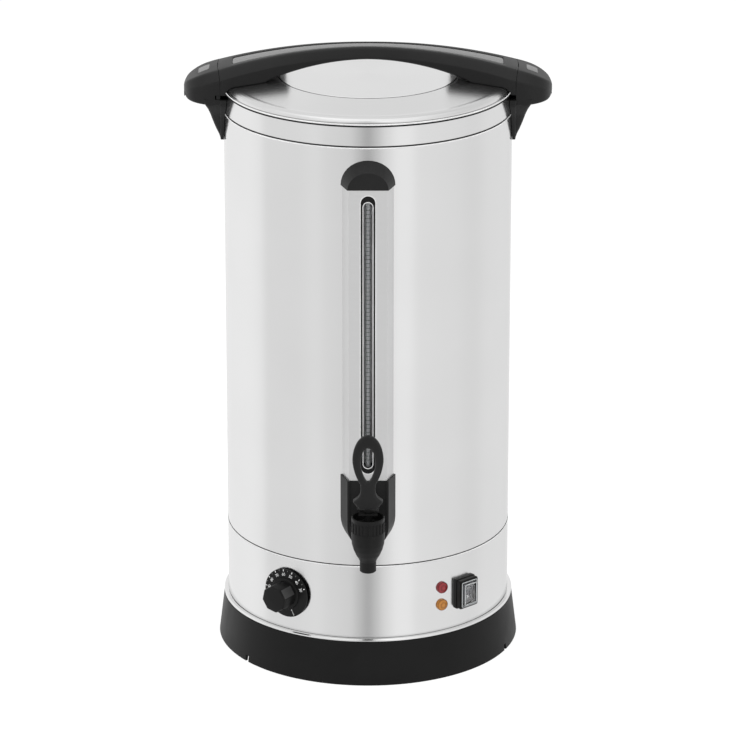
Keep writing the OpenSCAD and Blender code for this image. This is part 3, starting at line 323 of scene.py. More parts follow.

# %% [markdown]
# ## The plastics of the urn
# The black mouldings are not one black: the base is matt, the dial glossier, the tap a shade
# deeper, as parts from different moulds are. Printed ink, the painted shade of joints, creases and
# lens rims, and the painted highlights of thin edges and of one facet of the knob are made with the
# same recipe, because at their size only colour and gloss can be seen.

# %% Make the plastics and the clear parts
plastics = {
    "black_plastic": (grey(0.012), 0.40, {}),
    "base_plastic": (grey(0.010), 0.42, dict(depth=0.08, specular=0.12)),
    "dial_plastic": (grey(0.008), 0.30, dict(depth=0.05, specular=0.16)),
    "tap_plastic": (grey(0.009), 0.38, dict(specular=0.16)),
    # a lighter grey: painted highlight on one facet of the knob's grip
    "knob_facet_highlight": (grey(0.05), 0.3, dict(specular=0.3)),
    "grey_inlay": (grey(0.17), 0.35, dict(specular=0.4)),
    "rocker_plastic": ((0.07, 0.07, 0.08), 0.30, dict(depth=0.03)),
    "foot_rubber": (grey(0.02), 0.8, dict(grain=2.0, depth=0.3)),
    "silicone": ((0.72, 0.72, 0.70), 0.5, {}),
    "ceramic": ((0.70, 0.67, 0.60), 0.5, dict(grain=2.0)),
    "scale_white": (grey(0.85), 0.5, dict(depth=0.03)),
    "print_white": (grey(0.85), 0.5, dict(depth=0.02)),
    "print_grey": (grey(0.24), 0.5, dict(depth=0.02)),
    "print_dark": (grey(0.02), 0.5, dict(depth=0.02)),
    "red_lens": ((0.30, 0.02, 0.025), 0.12, dict(depth=0.02, specular=0.6)),
    # deep red: painted shade at the red lens's rim and ring
    "red_rim_shade": ((0.07, 0.005, 0.006), 0.3, dict(depth=0.02)),
    "amber_lens": ((0.55, 0.22, 0.03), 0.12, dict(depth=0.02, specular=0.6)),
    # deep amber: painted shade at the amber lens's rim and ring
    "amber_rim_shade": ((0.20, 0.07, 0.01), 0.3, dict(depth=0.02)),
    "cover_edge": ((0.62, 0.64, 0.65), 0.2, dict(depth=0.02)),
    # pale grey: painted highlight on thin edges, the gauge's trim and slot, the seams' rolled edges and the lid's
    # hem
    "edge_highlight_pale": (grey(0.80), 0.3, dict(depth=0.02)),
    # near black: painted shade in the joints between steel rings and in the lid's crease
    "shade_line_dark": (grey(0.012), 0.6, dict(depth=0.02)),
}
finishes |= {name: plastic(name, tint, rough, **rest) for name, (tint, rough, rest) in plastics.items()}
finishes["gauge_glass"] = clear("gauge_glass", (0.75, 0.77, 0.78), 0.08, 0.55, through=0.35)
finishes["clear_cover"] = clear("clear_cover", (0.92, 0.94, 0.95), 0.10, 0.45)
print(len(finishes), "finishes")

# %% [markdown]
# ## Dress the model's own pieces
# The record says which finish each node has, and a few get a closer one from the list below. Round
# walls are shaded smooth, and edges sharper than 30 degrees stay crisp, which is what pressed steel
# and machined parts look like. A bevel on every edge would do it too, at many more faces.

# %% Give each node its finish
special = {"lid_shell": "spun_steel", "gauge_column": "column_steel", "base_skirt": "base_plastic",
           # the tap's stem gets a near-black steel, painted shade
           "knob": "dial_plastic", "tap_stem": "stem_shade_steel", "tap_bonnet": "tap_plastic",
           # the gauge's trim gets a pale grey, painted highlight
           "tap_body": "tap_plastic", "gauge_frame": "tap_plastic", "gauge_trim": "edge_highlight_pale"}


def shade(mesh, degrees=30):
    """Smooth shading that stays crisp at edges sharper than the angle."""
    mesh.shade_smooth()
    mesh.set_sharp_from_angle(angle=math.radians(degrees))


slot_of = {part["node"]: part["material_slot"] for part in frame["record"]["subparts"]}
for name, piece in nodes.items():
    finish = finishes[special.get(name, slot_of[name])]
    piece.data.materials.clear()
    piece.data.materials.append(finish)
    shade(piece.data)
print("dressed", len(nodes), "nodes")

# %% [markdown]
# ## Small helpers for meshes
# A moulding could be modelled by hand, from a cube with modifiers. Most mouldings here are lofts: a
# list of rings with equally many points, skinned by quads, so that a few lines decide the whole
# form. `soften` rounds the corners of an outline, so that every edge catches a thin line of light,
# as moulded edges do.

# %% Mesh helpers
def loft(rings, closed=False):
    """Skins the rings; a closed loft joins the last to the first, an open one gets two caps."""
    count = len(rings[0])
    points = [point for ring in rings for point in ring]
    faces = []
    for i in range(len(rings) if closed else len(rings) - 1):
        a, b = i * count, (i + 1) % len(rings) * count
        faces += [(a + j, a + (j + 1) % count, b + (j + 1) % count, b + j) for j in range(count)]
    if not closed:
        faces += [tuple(range(count))[::-1], tuple(range(len(points) - count, len(points)))]
    return points, faces


def together(*parts):
    """Several shapes as one, still separate from each other."""
    points, faces = [], []
    for more_points, more_faces in parts:
        start = len(points)
        points += more_points
        faces += [tuple(start + i for i in face) for face in more_faces]
    return points, faces


def soften(corners, radii, steps=5):
    """The closed outline through the corners, each rounded over its own radius."""
    rounded = []
    for i, (corner, radius) in enumerate(zip(corners, radii)):
        corner = Vector(corner)
        before = Vector(corners[i - 1]) - corner
        after = Vector(corners[(i + 1) % len(corners)]) - corner
        reach = min(radius, 0.48 * before.length, 0.48 * after.length)
        start = corner + before.normalized() * reach
        end = corner + after.normalized() * reach
        for k in range(steps + 1):
            t = k / steps
            rounded.append((1 - t) ** 2 * start + 2 * t * (1 - t) * corner + t ** 2 * end)
    return rounded


print("helpers for shapes: loft, together and soften")

# %% Turn a shape into a piece
def new_piece(name, shape, finish, body, hides=(), degrees=40):
    """Makes an object of a shape, with a finish, riding on a body, in place of the hidden nodes."""
    points, faces = shape
    mesh = bpy.data.meshes.new(name)
    mesh.from_pydata([tuple(point) for point in points], [], faces)
    outward = bmesh.new()
    outward.from_mesh(mesh)
    bmesh.ops.recalc_face_normals(outward, faces=outward.faces)
    outward.to_mesh(mesh)
    outward.free()
    piece = bpy.data.objects.new(name, mesh)
    bpy.context.scene.collection.objects.link(piece)
    mesh.materials.append(finishes[finish])
    shade(mesh, degrees)
    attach(piece, body)
    if hides:
        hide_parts(*hides)
    return piece


print("new_piece makes an object that rides on a body of the model")

# %% [markdown]
# ## The arch handle
# The arch is one moulding. Its top follows a circle from side to side, its flanks slope out to a
# ledge, and the lower sides are upright. Both ends stand on the lid's shoulder and finish on a
# cylinder round the drum's axis, because they turn past the side handles there. A bent bar with
# bevelled edges would be quicker, but would miss the ledge and the way the legs meet the lid. So
# the arch is a loft of sections, and the underside of each follows the lid where it rests on it.

# %% The arch's lines
arch_top_z = high("arch_handle").z
joint_r = drum_r + 6 * MM
joint_run = 0.2 * MM
arch_drop = 20.8 * MM
arch_bend = (joint_r ** 2 + arch_drop ** 2) / (2 * arch_drop)
plateau_r = drum_r - 14 * MM
plateau_z = rim_z + 7.8 * MM
hem_top = rim_z + 2.7 * MM
lid_slope = 5.6 / 41
foot_x = 0.71 * drum_r
foot_z = plateau_z + lid_slope * (plateau_r - foot_x)
under_drop = arch_top_z - 11 * MM - foot_z
under_bend = (foot_x ** 2 + under_drop ** 2) / (2 * under_drop)
leg_z = rim_z - 0.8 * MM
inlay_x = joint_r - 15 * MM
leg_start = (drum_r + 0.4 * MM) / (joint_r - joint_run)
print("the arch bends with a radius of", round(arch_bend, 3), "m and its feet start at", round(foot_x, 3))

# %% How wide and how high the arch is
def arch_top(x):
    """Height of the arch's top, on its circle."""
    return arch_top_z - arch_bend + math.sqrt(arch_bend ** 2 - x * x)


def arch_half(x):
    """Half the width of its flat top, which grows towards the ends."""
    return (11.3 + 10.7 * (abs(x) / joint_r) ** 1.45) * MM


def arch_shoulder(x):
    """Half the width at the ledge, where the flanks end."""
    return arch_half(x) + (6.5 + 4 * abs(x) / joint_r) * MM


def lid_height(radius):
    """Just under the lid's skin, and beyond its hem the height to which the legs reach."""
    skin = 0.3 * MM
    if radius < plateau_r:
        return plateau_z + lid_slope * (plateau_r - radius) - skin
    if radius < drum_r - 2 * MM:
        share = (radius - plateau_r) / (12 * MM)
        return hem_top + (plateau_z - hem_top) * math.sqrt(max(0, 1 - share ** 2)) - skin
    return hem_top - skin


def arch_floor(x, y):
    """Height of its underside: a circle over the finger gap, and the lid beyond."""
    if abs(x) <= foot_x:
        return arch_top_z - 11 * MM - under_bend + math.sqrt(under_bend ** 2 - x * x)
    return lid_height(math.hypot(x, y))


print("the arch is", round(2 * arch_half(0) / MM, 1), "mm wide in the middle")

# %% The section that all handles share
def groove_sides(half):
    """Front and back of the groove, which lies a little nearer to the front."""
    return -0.62 * half - 0.1 * MM, 0.42 * half + 1.7 * MM


def grip_section(half, shoulder, top, ledge, floor, groove=None):
    """Outline of a handle, from the floor's right edge over the top to its left edge."""
    right = soften([(shoulder, floor), (shoulder, ledge), (half + 0.6 * MM, top), (0, top)],
                   [0, 1.6 * MM, 2.6 * MM, 0])[6:18]
    front, back = groove_sides(half)
    if groove:
        pocket = [(back + 0.3 * MM, top), (back, top - 0.2 * MM), (back, top - groove - 0.2 * MM),
                  (front, top - groove - 0.2 * MM), (front, top - 0.2 * MM), (front - 0.3 * MM, top)]
    elif groove is None:
        pocket = [(half * share, top) for share in (0.7, 0.42, 0.14, -0.14, -0.42, -0.7)]
    else:
        pocket = [(y, top) for y in (back + 0.3 * MM, back + 0.15 * MM, back, front, front - 0.15 * MM,
                                     front - 0.3 * MM)]
    left = [(-y, z) for y, z in reversed(right)]
    return [tuple(point) for point in right] + pocket + left


print("a section goes over the top, with a groove for the inlay where there is one")

# %% One station of the arch
def arch_ring(share, groove):
    """The section at a share of the way from the middle to the end."""
    x = share * joint_r
    half, shoulder, top = arch_half(x), arch_shoulder(x), arch_top(x)
    end = joint_r - joint_run
    outline = grip_section(half, shoulder, top, top - 9 * MM, top - 10.5 * MM, groove)
    ring = [(share * math.sqrt(end ** 2 - y * y), y, z) for y, z in outline]
    lowest = ring[-1][2] - 0.2 * MM
    floor = []
    for i in range(13):
        y = (shoulder - 1.2 * MM) * (i / 6 - 1)
        x = share * math.sqrt(end ** 2 - y * y)
        floor.append((x, y, min(leg_z if abs(share) > leg_start else arch_floor(x, y), lowest)))
    # the lower edges of the upright sides are a little rounded
    left, right = ((x, side * shoulder, min(z + 1.2 * MM, lowest))
                   for side, (x, _, z) in ((-1, floor[0]), (1, floor[-1])))
    return ring + [left] + floor + [right]


print(len(arch_ring(0, 0.0)), "points in each section of the arch")

# %% [markdown]
# ## The arch in two pieces, with its lugs
# Under each leg a tab reaches outwards and locks in the pocket of a side handle. Brushed steel
# blurs what it mirrors, most of all what is far from it: the raised middle of the arch hardly shows
# in the lid, while the legs do. A rougher lid would lose both. So the arch is cut in two pieces at
# a place where they meet flush, and mirror rays pass through the raised one.

# %% Helpers for the arch and its lugs
groove_depth = 1.2 * MM
lug_near, lug_far, lug_inside = 19 * MM, 32 * MM, drum_r + 0.4 * MM
groove_end = inlay_x / joint_r
leg_share = groove_end * 16 / 26


def arch_shares():
    """Where the arch's sections stand, and how deep the groove is in each."""
    middle = [groove_end * i / 26 for i in range(-26, 27)]
    ends = [groove_end + 0.002, 0.925, 0.94, 0.95, leg_start - 0.001, leg_start + 0.001, 0.98, 0.99, 1.0]
    return sorted([(share, groove_depth) for share in middle] +
                  [(side * share, 0.0) for share in ends for side in (-1, 1)])


def lug(y0, y1, inner, outer, z0, z1):
    """A tab under a leg: it locks in the side handle's pocket when the lid is turned home."""
    ys = [y0 + (y1 - y0) * i / 6 for i in range(7)]
    plan = [(math.sqrt(outer ** 2 - y * y), y) for y in ys]
    plan += [(math.sqrt(inner ** 2 - y * y), y) for y in reversed(ys)]
    return loft([[(x, y, z) for x, y in plan] for z in (z0, z0 + 0.01 * MM, z1)])


def arch_part(low_share, high_share):
    """The arch from one share of its half length to another."""
    return loft([arch_ring(share, groove) for share, groove in arch_shares()
                 if low_share - 0.001 < share < high_share + 0.001])


def mirrored(shape):
    """The same shape turned half round the drum's axis."""
    points, faces = shape
    return [(-x, -y, z) for x, y, z in points], faces


print("the legs reach in to", round(leg_share * joint_r, 3), "m from the middle")

# %% Build the arch
def build_arch():
    """The two legs with their lugs, and the raised grip between them."""
    body = together(arch_part(-1, -leg_share), arch_part(leg_share, 1))
    lug_z = rim_z - 4.4 * MM
    tab = lug(lug_near, lug_far, lug_inside, joint_r + 3.6 * MM, lug_z, lug_z + 3.6 * MM)
    web = lug(lug_near, lug_far, lug_inside, joint_r - joint_run, lug_z, lug_z + 9 * MM)
    legs = together(body, tab, web, mirrored(tab), mirrored(web))
    new_piece("arch_handle_legs", legs, "black_plastic", "lid", degrees=42)
    return new_piece("arch_handle_grip", arch_part(-leg_share, leg_share), "black_plastic", "lid",
                     hides=["arch_handle"], degrees=42)


arch = build_arch()
print("arch of", len(arch.data.polygons), "faces")

# %% [markdown]
# ## The arch's inlay
# A grey strip lies in a groove on top, set back a little from its front edge, with a gap round it
# and round ends. It could be a colour painted on the black, but the gap's fine shadow is what makes
# it look like a part of its own. So it is a loft too, that narrows at both ends.

# %% Build the inlay
def build_arch_inlay():
    """A grey strip that lies in the groove, with a gap round it."""
    rings = []
    ends = [0, 0.15, 0.5, 1.1, 2.0, 3.0]
    length = inlay_x - 0.6 * MM
    steps = sorted(side * (length - end * MM) for end in ends for side in (-1, 1))
    steps = steps[:6] + [(length - 3 * MM) * i / 24 for i in range(-23, 24)] + steps[6:]
    for x in steps:
        pull = 3 * MM - (length - abs(x))
        round_off = 2.6 * MM * (1 - math.sqrt(max(0, 1 - (pull / (3 * MM)) ** 2))) if pull > 0 else 0
        half, top = arch_half(x), arch_top(x) - 0.25 * MM
        front, back = groove_sides(half)
        front, back = front + 0.8 * MM + round_off, back - 1.6 * MM - round_off
        corners = [(front, top - MM), (back, top - MM), (back, top), (front, top)]
        rings.append([(x, y, z) for y, z in soften(corners, [0.1 * MM] * 2 + [0.4 * MM] * 2, steps=3)])
    return new_piece("arch_inlay_strip", loft(rings), "grey_inlay", "lid",
                     hides=["arch_inlay"])


arch_strip = build_arch_inlay()
arch.visible_glossy = arch_strip.visible_glossy = False
print("inlay of", len(arch_strip.data.polygons), "faces")

# %% [markdown]
# ## The side handles
# Each side handle carries the arch's section on to a round nose. Under it an arm tapers down the
# drum, with a flat flange against the wall. The arch's lug turns into a pocket between the two. The
# real one is a single moulding; here three lofts overlap in one mesh, since no seam between them
# would show and each stays simple.

# %% The grip with its pocket
handle_reach = 33.7 * MM
pocket_low, pocket_high = rim_z - 4.8 * MM, rim_z - 0.4 * MM


def grip_ring(t):
    """The grip's section from the joint with the arch, t = 0, to its round nose, t = 1."""
    x = joint_r + handle_reach * t
    taper = math.sqrt(max(0, 1 - t ** 3.2))
    nose = 4.5 * MM * (1 - math.sqrt(max(0, 1 - (max(0, t - 0.84) / 0.16) ** 2)))
    top = arch_top(x) - 6 * MM * t ** 3 - nose
    floor = rim_z - (12.2 - 4 * t - 1.5 * t ** 8) * MM + nose
    half, shoulder = arch_half(joint_r) * taper, arch_shoulder(joint_r) * taper
    outline = grip_section(half, shoulder, top, top - 9 * MM * (1 - 0.5 * t ** 6), floor)
    under = soften([(-shoulder, top), (-shoulder, floor), (shoulder, floor), (shoulder, top)],
                   [0, 3.2 * MM, 3.2 * MM, 0])[6:18]
    deep = 18.6 * MM if x < joint_r + 4.2 * MM else shoulder - 0.01 * MM
    low_z, high_z = (pocket_low, pocket_high) if x < joint_r + 4.2 * MM else (top - 12 * MM, top - 11.9 * MM)
    notch = [(shoulder, low_z), (deep, low_z), (deep, high_z), (shoulder, high_z)]
    start = joint_r + joint_run
    ring = []
    for y, z in list(outline) + [tuple(point) for point in under] + notch:
        bend = (joint_r - math.sqrt(start ** 2 - y * y)) * (1 - t) ** 2
        ring.append((x - bend, y, z))
    return ring


print("the pocket is", round((pocket_high - pocket_low) / MM, 1), "mm high")

# %% The arm and its flange
def arm_ring(z, out, half):
    """A level of the arm: how far it stands out from the drum, and half its width."""
    wall = drum_r + 0.3 * MM
    ys = [half * (1 - i / 4) for i in range(9)]
    inside = [(math.sqrt(wall ** 2 - y * y), y, z) for y in ys]
    corners = [(drum_r - 20 * MM, -half), (drum_r + out, -half), (drum_r + out, half),
               (drum_r - 20 * MM, half)]
    outside = soften(corners, [0, min(3.5 * MM, out * 0.6), min(3.5 * MM, out * 0.6), 0])[6:18]
    return inside + [(x, y, z) for x, y in outside]


def along(table, share):
    """Reads a table of (share, value, value), in straight lines between its rows."""
    for (s0, *low_values), (s1, *high_values) in zip(table, table[1:]):
        if share <= s1:
            t = (share - s0) / (s1 - s0)
            return [a + (b - a) * t for a, b in zip(low_values, high_values)]
    return table[-1][1:]


print("an arm's section has", len(arm_ring(rim_z, 10 * MM, 20 * MM)), "points")

# %% The whole side handle
def side_handle_shape():
    """Grip, arm and flange of the right handle."""
    noses = [0, 0.06, 0.122, 0.126, 0.2, 0.3, 0.4, 0.5, 0.6]
    noses += [1 - 0.36 * (1 - i / 12) ** 2 for i in range(1, 12)] + [0.9995]
    grip = loft([grip_ring(t) for t in noses])
    arm_low, arm_high = rim_z - 51 * MM, rim_z - 5 * MM
    # share of the arm's height, how far it stands out and its half width, in millimetres
    arm_lines = [(0, 3.2, 12), (0.1, 4.6, 13), (0.25, 7.6, 15.5), (0.43, 10.4, 19), (0.6, 12.6, 23),
                 (0.75, 14.8, 28), (0.886, 18, 32.3), (1, 20.5, 32.3)]
    levels = [i / 20 for i in range(21)]
    arm = []
    for share in levels:
        out, half = along(arm_lines, share)
        arm.append(arm_ring(arm_low + (arm_high - arm_low) * share, out * MM, half * MM))
    flange = [arm_ring(arm_low - 0.6 * MM + (arm_high - arm_low) * share, 3.2 * MM,
                       (along(arm_lines, share)[1] + 1.6) * MM) for share in levels]
    return together(grip, loft(arm), loft(flange))


right_handle = side_handle_shape()
new_piece("side_handle_moulding_right", right_handle, "black_plastic", "urn",
          hides=["side_handle_right"], degrees=45)
new_piece("side_handle_moulding_left", mirrored(right_handle), "black_plastic", "urn",
          hides=["side_handle_left"], degrees=45)
print("side handles of", 2 * len(right_handle[1]), "faces")

# %% The small grey plates on the side handles
def grip_inlay_shape():
    """A small grey plate let into the top of the handle."""
    rings = []
    low_x, high_x, half = joint_r + 8 * MM, joint_r + 19 * MM, 9 * MM
    for i in range(13):
        x = low_x + (high_x - low_x) * i / 12
        t = (x - joint_r) / handle_reach
        pull = max(0, 1 - min(x - low_x, high_x - x) / (1.8 * MM))
        wide = half - 1.8 * MM * (1 - math.sqrt(max(0, 1 - pull ** 2)))
        top = arch_top(x) - 6 * MM * t ** 3 + 0.2 * MM
        corners = [(-wide, top - MM), (wide, top - MM), (wide, top), (-wide, top)]
        rings.append([(x, y, z) for y, z in soften(corners, [0.1 * MM] * 2 + [0.3 * MM] * 2, steps=3)])
    return loft(rings)


plates = together(grip_inlay_shape(), mirrored(grip_inlay_shape()))
new_piece("side_handle_plates", plates, "grey_inlay", "urn", hides=["side_handle_inlays"])
print("plates of", len(plates[1]), "faces")

# %% [markdown]
# ## The tap's lever
# The lever is a flat loop with an egg-shaped hole, a slim neck and a flared skirt over two cheeks.
# It could be modelled with subdivision surfaces, which need care round a hole. A closed loft round
# the hole gives the loop directly, and the neck and the skirt are a loft of levels, each a
# rectangle with very round corners. The cheeks straddle the stem's head and end in the cams.

# %% The loop
def egg(angle, half, up, down, middle):
    """Point of an oval about the lever's axis, with its lower half longer than its upper one."""
    tall = up if math.sin(angle) > 0 else down
    narrow = 1 if math.sin(angle) > 0 else 1 - 0.34 * abs(math.sin(angle)) ** 1.6
    return half * math.cos(angle) * narrow, middle + tall * math.sin(angle)


def power(value, exponent):
    """A power that keeps the sign; it squares the corners of a circle."""
    return math.copysign(abs(value) ** exponent, value)


# half width, height over and under the middle, and the middle's height over the pin, in millimetres
loop_outside, loop_hole = (15.5, 26, 33, 49), (7.1, 17, 18.6, 45)


def lever_shape():
    """The loop, from rings of points that stand round its hole."""
    steps, around = 72, 16
    loop = []
    for i in range(steps):
        angle = math.tau * i / steps
        outer = Vector(egg(angle, *loop_outside))
        inner = Vector(egg(angle, *loop_hole))
        ring = []
        for k in range(around):
            turn = math.tau * k / around
            share = 0.5 + 0.5 * power(math.cos(turn), 0.55)
            spot = inner.lerp(outer, share)
            deep = 4 - 0.8 * max(0, (spot.y - 50) / 25)
            ring.append((spot.x, deep * power(math.sin(turn), 0.55), spot.y))
        loop.append(ring)
    return [tap_pin + Vector(point) * MM for ring in loop for point in ring], loft(loop, closed=True)[1]


print("the loop's hole is", round(2 * egg(0, *loop_hole)[0], 1), "mm wide")

# %% The neck, the skirt and the cheeks
def hub_shape():
    """The neck with its skirt, and the two cheeks under it."""
    # height over the pin, half width and half depth of the neck and the skirt
    levels = [(25, 6.8, 3.2), (24, 7.5, 3.8), (22, 7.6, 4.0), (18.5, 7.3, 4.1), (15.5, 7.5, 4.4),
              (13.2, 8.1, 4.9), (11.2, 9.2, 5.5), (9.4, 10.8, 6.0), (7.8, 12.8, 6.4), (6.7, 14.2, 6.6),
              (6.2, 14.8, 6.6), (5.6, 14.8, 6.6), (5.0, 14.3, 6.6), (3.5, 13.0, 6.5), (1.5, 11.6, 6.5),
              (0.95, 11.2, 6.4), (0.85, 9.4, 5.9), (-0.75, 9.4, 5.9), (-0.85, 10.9, 6.9), (-1.1, 11.0, 7.0)]
    neck = []
    for up, half, deep in levels:
        ring = []
        for k in range(40):
            turn = math.tau * k / 40
            ring.append((half * power(math.cos(turn), 0.42), deep * power(math.sin(turn), 0.42), up))
        neck.append(ring)
    cheeks = []
    for side in (-1, 1):
        rings = []
        for up, outer, deep in [(-1.1, 11.0, 7.0), (-2, 10.6, 6.9), (-4, 10.1, 6.2), (-5.4, 9.8, 4.4),
                                (-6, 9.5, 2.6)]:
            corners = [(side * 4.4, -deep), (side * outer, -deep), (side * outer, deep), (side * 4.4, deep)]
            rings.append([(x, y, up) for x, y in soften(corners, [0.6] * 4, steps=2)])
        cheeks.append(loft(rings))
    points, faces = together(loft(neck), *cheeks)
    return [tap_pin + Vector(point) * MM for point in points], faces


print("neck and cheeks of", len(hub_shape()[1]), "faces")

# %% [markdown]
# ## Room for the stem's head
# The stem's head lies between the cheeks and turns up into the skirt when the lever is pulled. A
# cavity could be built into the loft, but one shape taken away from another is easier to read. The
# boolean's result is kept as a plain mesh, so that no modifier is left on the lever.

# %% Carve and build the lever
def carve(piece, cutter_shape):
    """Takes a shape out of a piece, once and for all."""
    mesh = bpy.data.meshes.new("cutter")
    mesh.from_pydata([tuple(point) for point in cutter_shape[0]], [], cutter_shape[1])
    cutter = bpy.data.objects.new("cutter", mesh)
    bpy.context.scene.collection.objects.link(cutter)
    cut = piece.modifiers.new("carve", "BOOLEAN")
    cut.operation, cut.solver, cut.object = "DIFFERENCE", "EXACT", cutter
    bpy.context.view_layer.update()
    carved = bpy.data.meshes.new_from_object(piece.evaluated_get(bpy.context.evaluated_depsgraph_get()))
    piece.modifiers.clear()
    piece.data = carved
    bpy.data.objects.remove(cutter)


def head_room():
    """The room in which the stem's head lies, between the cheeks and up into the skirt."""
    profile = [(-20, -12), (-20, 0), (-5.7, 0)]
    profile += [(-5.7 * math.cos(t), 5.7 * math.sin(t)) for t in (math.pi * k / 16 for k in range(1, 16))]
    profile += [(5.7, 0), (20, 0), (20, -12)]
    points, faces = loft([[(x, y, z) for y, z in profile] for x in (-4.15, 4.15)])
    return [tap_pin + Vector(point) * MM for point in points], faces


lever = new_piece("tap_lever_moulding", lever_shape(), "black_plastic", "tap_lever",
                  hides=["tap_lever"], degrees=50)
hub = new_piece("tap_lever_hub", hub_shape(), "black_plastic", "tap_lever", degrees=50)
carve(hub, head_room())
shade(hub.data, 50)
# as with the arch's grip, mirror rays pass through the lever
lever.visible_glossy = hub.visible_glossy = False
print("lever of", len(lever.data.polygons), "faces")

# %% [markdown]
# ## The knob
# The thermostat's knob is a numbered disc with an eight-sided grip. Both are turned or drawn along
# one axis, so they could be cylinders, but real ones have rounded corners and a disc that falls
# away towards its rim. They are lofts along the knob's axis. `wall_frame` gives the matrix that
# takes (right, up, out) on the drum's wall to the model's own frame, for this and all that follows.

# %% From the wall to the model's frame
def wall_frame(outward, place):
    """Matrix from (right, up, out) on the drum's wall to the model's frame."""
    up = Vector((0, 0, 1))
    right = up.cross(outward)
    turn = Matrix((right, up, outward)).transposed().to_4x4()
    return Matrix.Translation(place) @ turn


def on(matrix, points):
    """The points, taken through a matrix."""
    return [matrix @ Vector(point) for point in points]


def surface_of(node, matrix):
    """Gives the height of a node's skin over a point on the wall, in millimetres, with a ray."""
    mesh = nodes[node].data
    skin = BVHTree.FromPolygons([v.co for v in mesh.vertices], [face.vertices for face in mesh.polygons])
    inward = -(matrix.to_3x3() @ Vector((0, 0, 1)))

    def height(x, y):
        hit = skin.ray_cast(matrix @ (Vector((x, y, 60)) * MM), inward)[0]
        return (matrix.inverted() @ hit).z / MM
    return height


knob_frame = wall_frame(knob_axis, knob_place)
knob_skin = surface_of("knob", knob_frame)
print("the knob stands out", round(knob_skin(0, 0), 1), "mm")

# %% The disc, the grip and a painted highlight on one facet
def skirt_out(radius):
    """How far the disc's skin stands out at a distance from its middle."""
    return knob_skin(radius, 0)


def round_shape(levels):
    """A turned shape on the knob's axis, from its radius at each height."""
    points, faces = loft([[Vector((r * math.cos(a), r * math.sin(a), out)) * MM
                           for a in (math.tau * i / 96 for i in range(96))] for r, out in levels])
    return on(knob_frame, points), faces


def grip_shape(radius=14.2, turned=10.6):
    """The eight-sided grip, with its edges a little rounded."""
    rings = []
    for r, out in ((radius, 4), (radius, 23.9), (radius - 0.35, 24.8), (radius - 1.0, 25.3),
                   (radius - 1.8, 25.5)):
        angles = [math.radians(turned + 45 * k) for k in range(8)]
        outline = soften([(r * math.cos(a), r * math.sin(a)) for a in angles], [0.7] * 8, steps=2)
        rings.append([Vector((x, y, out)) * MM for x, y in outline])
    points, faces = loft(rings)
    return on(knob_frame, points), faces


def facet_shape(turned=33.1, flat=13.15):
    """A lighter plate on one facet: a painted highlight where the light falls on the grip."""
    a = math.radians(turned)
    away, across = Vector((math.cos(a), math.sin(a), 0)), Vector((-math.sin(a), math.cos(a), 0))
    rings = [[(away * (flat + lift) + across * side + Vector((0, 0, out))) * MM
              for side, lift in ((-4.9, -0.4), (4.9, -0.4), (4.9, 0.0), (-4.9, 0.0))]
             for out in (7.5, 23.6)]
    points, faces = loft(rings)
    return on(knob_frame, points), faces


print("grip of", len(grip_shape()[1]), "faces")

# %% Build the knob
# radius and height over the wall of the disc and the foot of the grip, in millimetres
skirt_levels = [(25.3, 1.3), (25.7, 1.6), (25.7, 2.9), (25.4, 3.2), (16.9, 4.02), (16.7, 5.1), (16.3, 6.0),
                (15.6, 6.3)]
new_piece("knob_moulding", together(round_shape(skirt_levels), grip_shape()), "dial_plastic", "knob",
          hides=["knob"], degrees=30)
# the lighter plate is a painted highlight on the facet that faces the light
new_piece("knob_facet_plate", facet_shape(), "knob_facet_highlight", "knob")
skirt_fall = skirt_out(18.5) - skirt_out(23.5)
print("the skirt falls", round(skirt_fall, 2), "mm over 5 mm, from", round(skirt_out(18.5), 2))

# %% [markdown]
# ## The dial
# White numbers run round the knob's disc, from 30 to 110, with a bold tick outside each and a faint
# one between. A texture could carry them, but would need an image. Text objects stay sharp from
# close by, and the ticks are thin bars. All stand a hair above the plastic, as thick ink does, and
# lean with the disc.

# %% One tick and one number
def dial_bar(degrees, inner, outer, width):
    """A tick on the skirt, as a thin raised bar; degrees run clockwise from the top."""
    a = math.radians(degrees)
    away, across = Vector((math.sin(a), math.cos(a), 0)), Vector((math.cos(a), -math.sin(a), 0))
    rings = []
    for radius in (inner, (inner + outer) / 2, outer):
        ring = []
        for side, lift in ((-1, -0.2), (1, -0.2), (1, 0.06), (-1, 0.06)):
            spot = away * radius + across * side * width / 2
            ring.append(Vector((spot.x, spot.y, skirt_out(radius) + lift)) * MM)
        rings.append(ring)
    points, faces = loft(rings)
    return on(knob_frame, points), faces


def dial_number(word, degrees, radius, size):
    """A number that lies on the disc, with its foot towards the middle."""
    curve = bpy.data.curves.new("dial_" + word, "FONT")
    curve.body = word
    curve.size = size * MM
    curve.align_x, curve.align_y = "CENTER", "CENTER"
    curve.extrude = 0.05 * MM
    curve.space_character = 0.92
    curve.resolution_u = 4
    number = bpy.data.objects.new("dial_" + word, curve)
    bpy.context.scene.collection.objects.link(number)
    a = math.radians(degrees)
    spot = Vector((radius * math.sin(a), radius * math.cos(a), skirt_out(radius) + 0.05)) * MM
    lean = Matrix.Rotation(-math.atan(skirt_fall / 5), 4, "X")
    number.matrix_world = knob_frame @ Matrix.Translation(spot) @ Matrix.Rotation(-a, 4, "Z") @ lean
    curve.materials.append(finishes["print_white"])
    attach(number, "knob")


print("ticks and numbers lie on the disc's skin,", round(skirt_out(20), 2), "mm out at 20 mm")

# %% Print the dial
first_number, last_number, number_step = 30, 110, 10
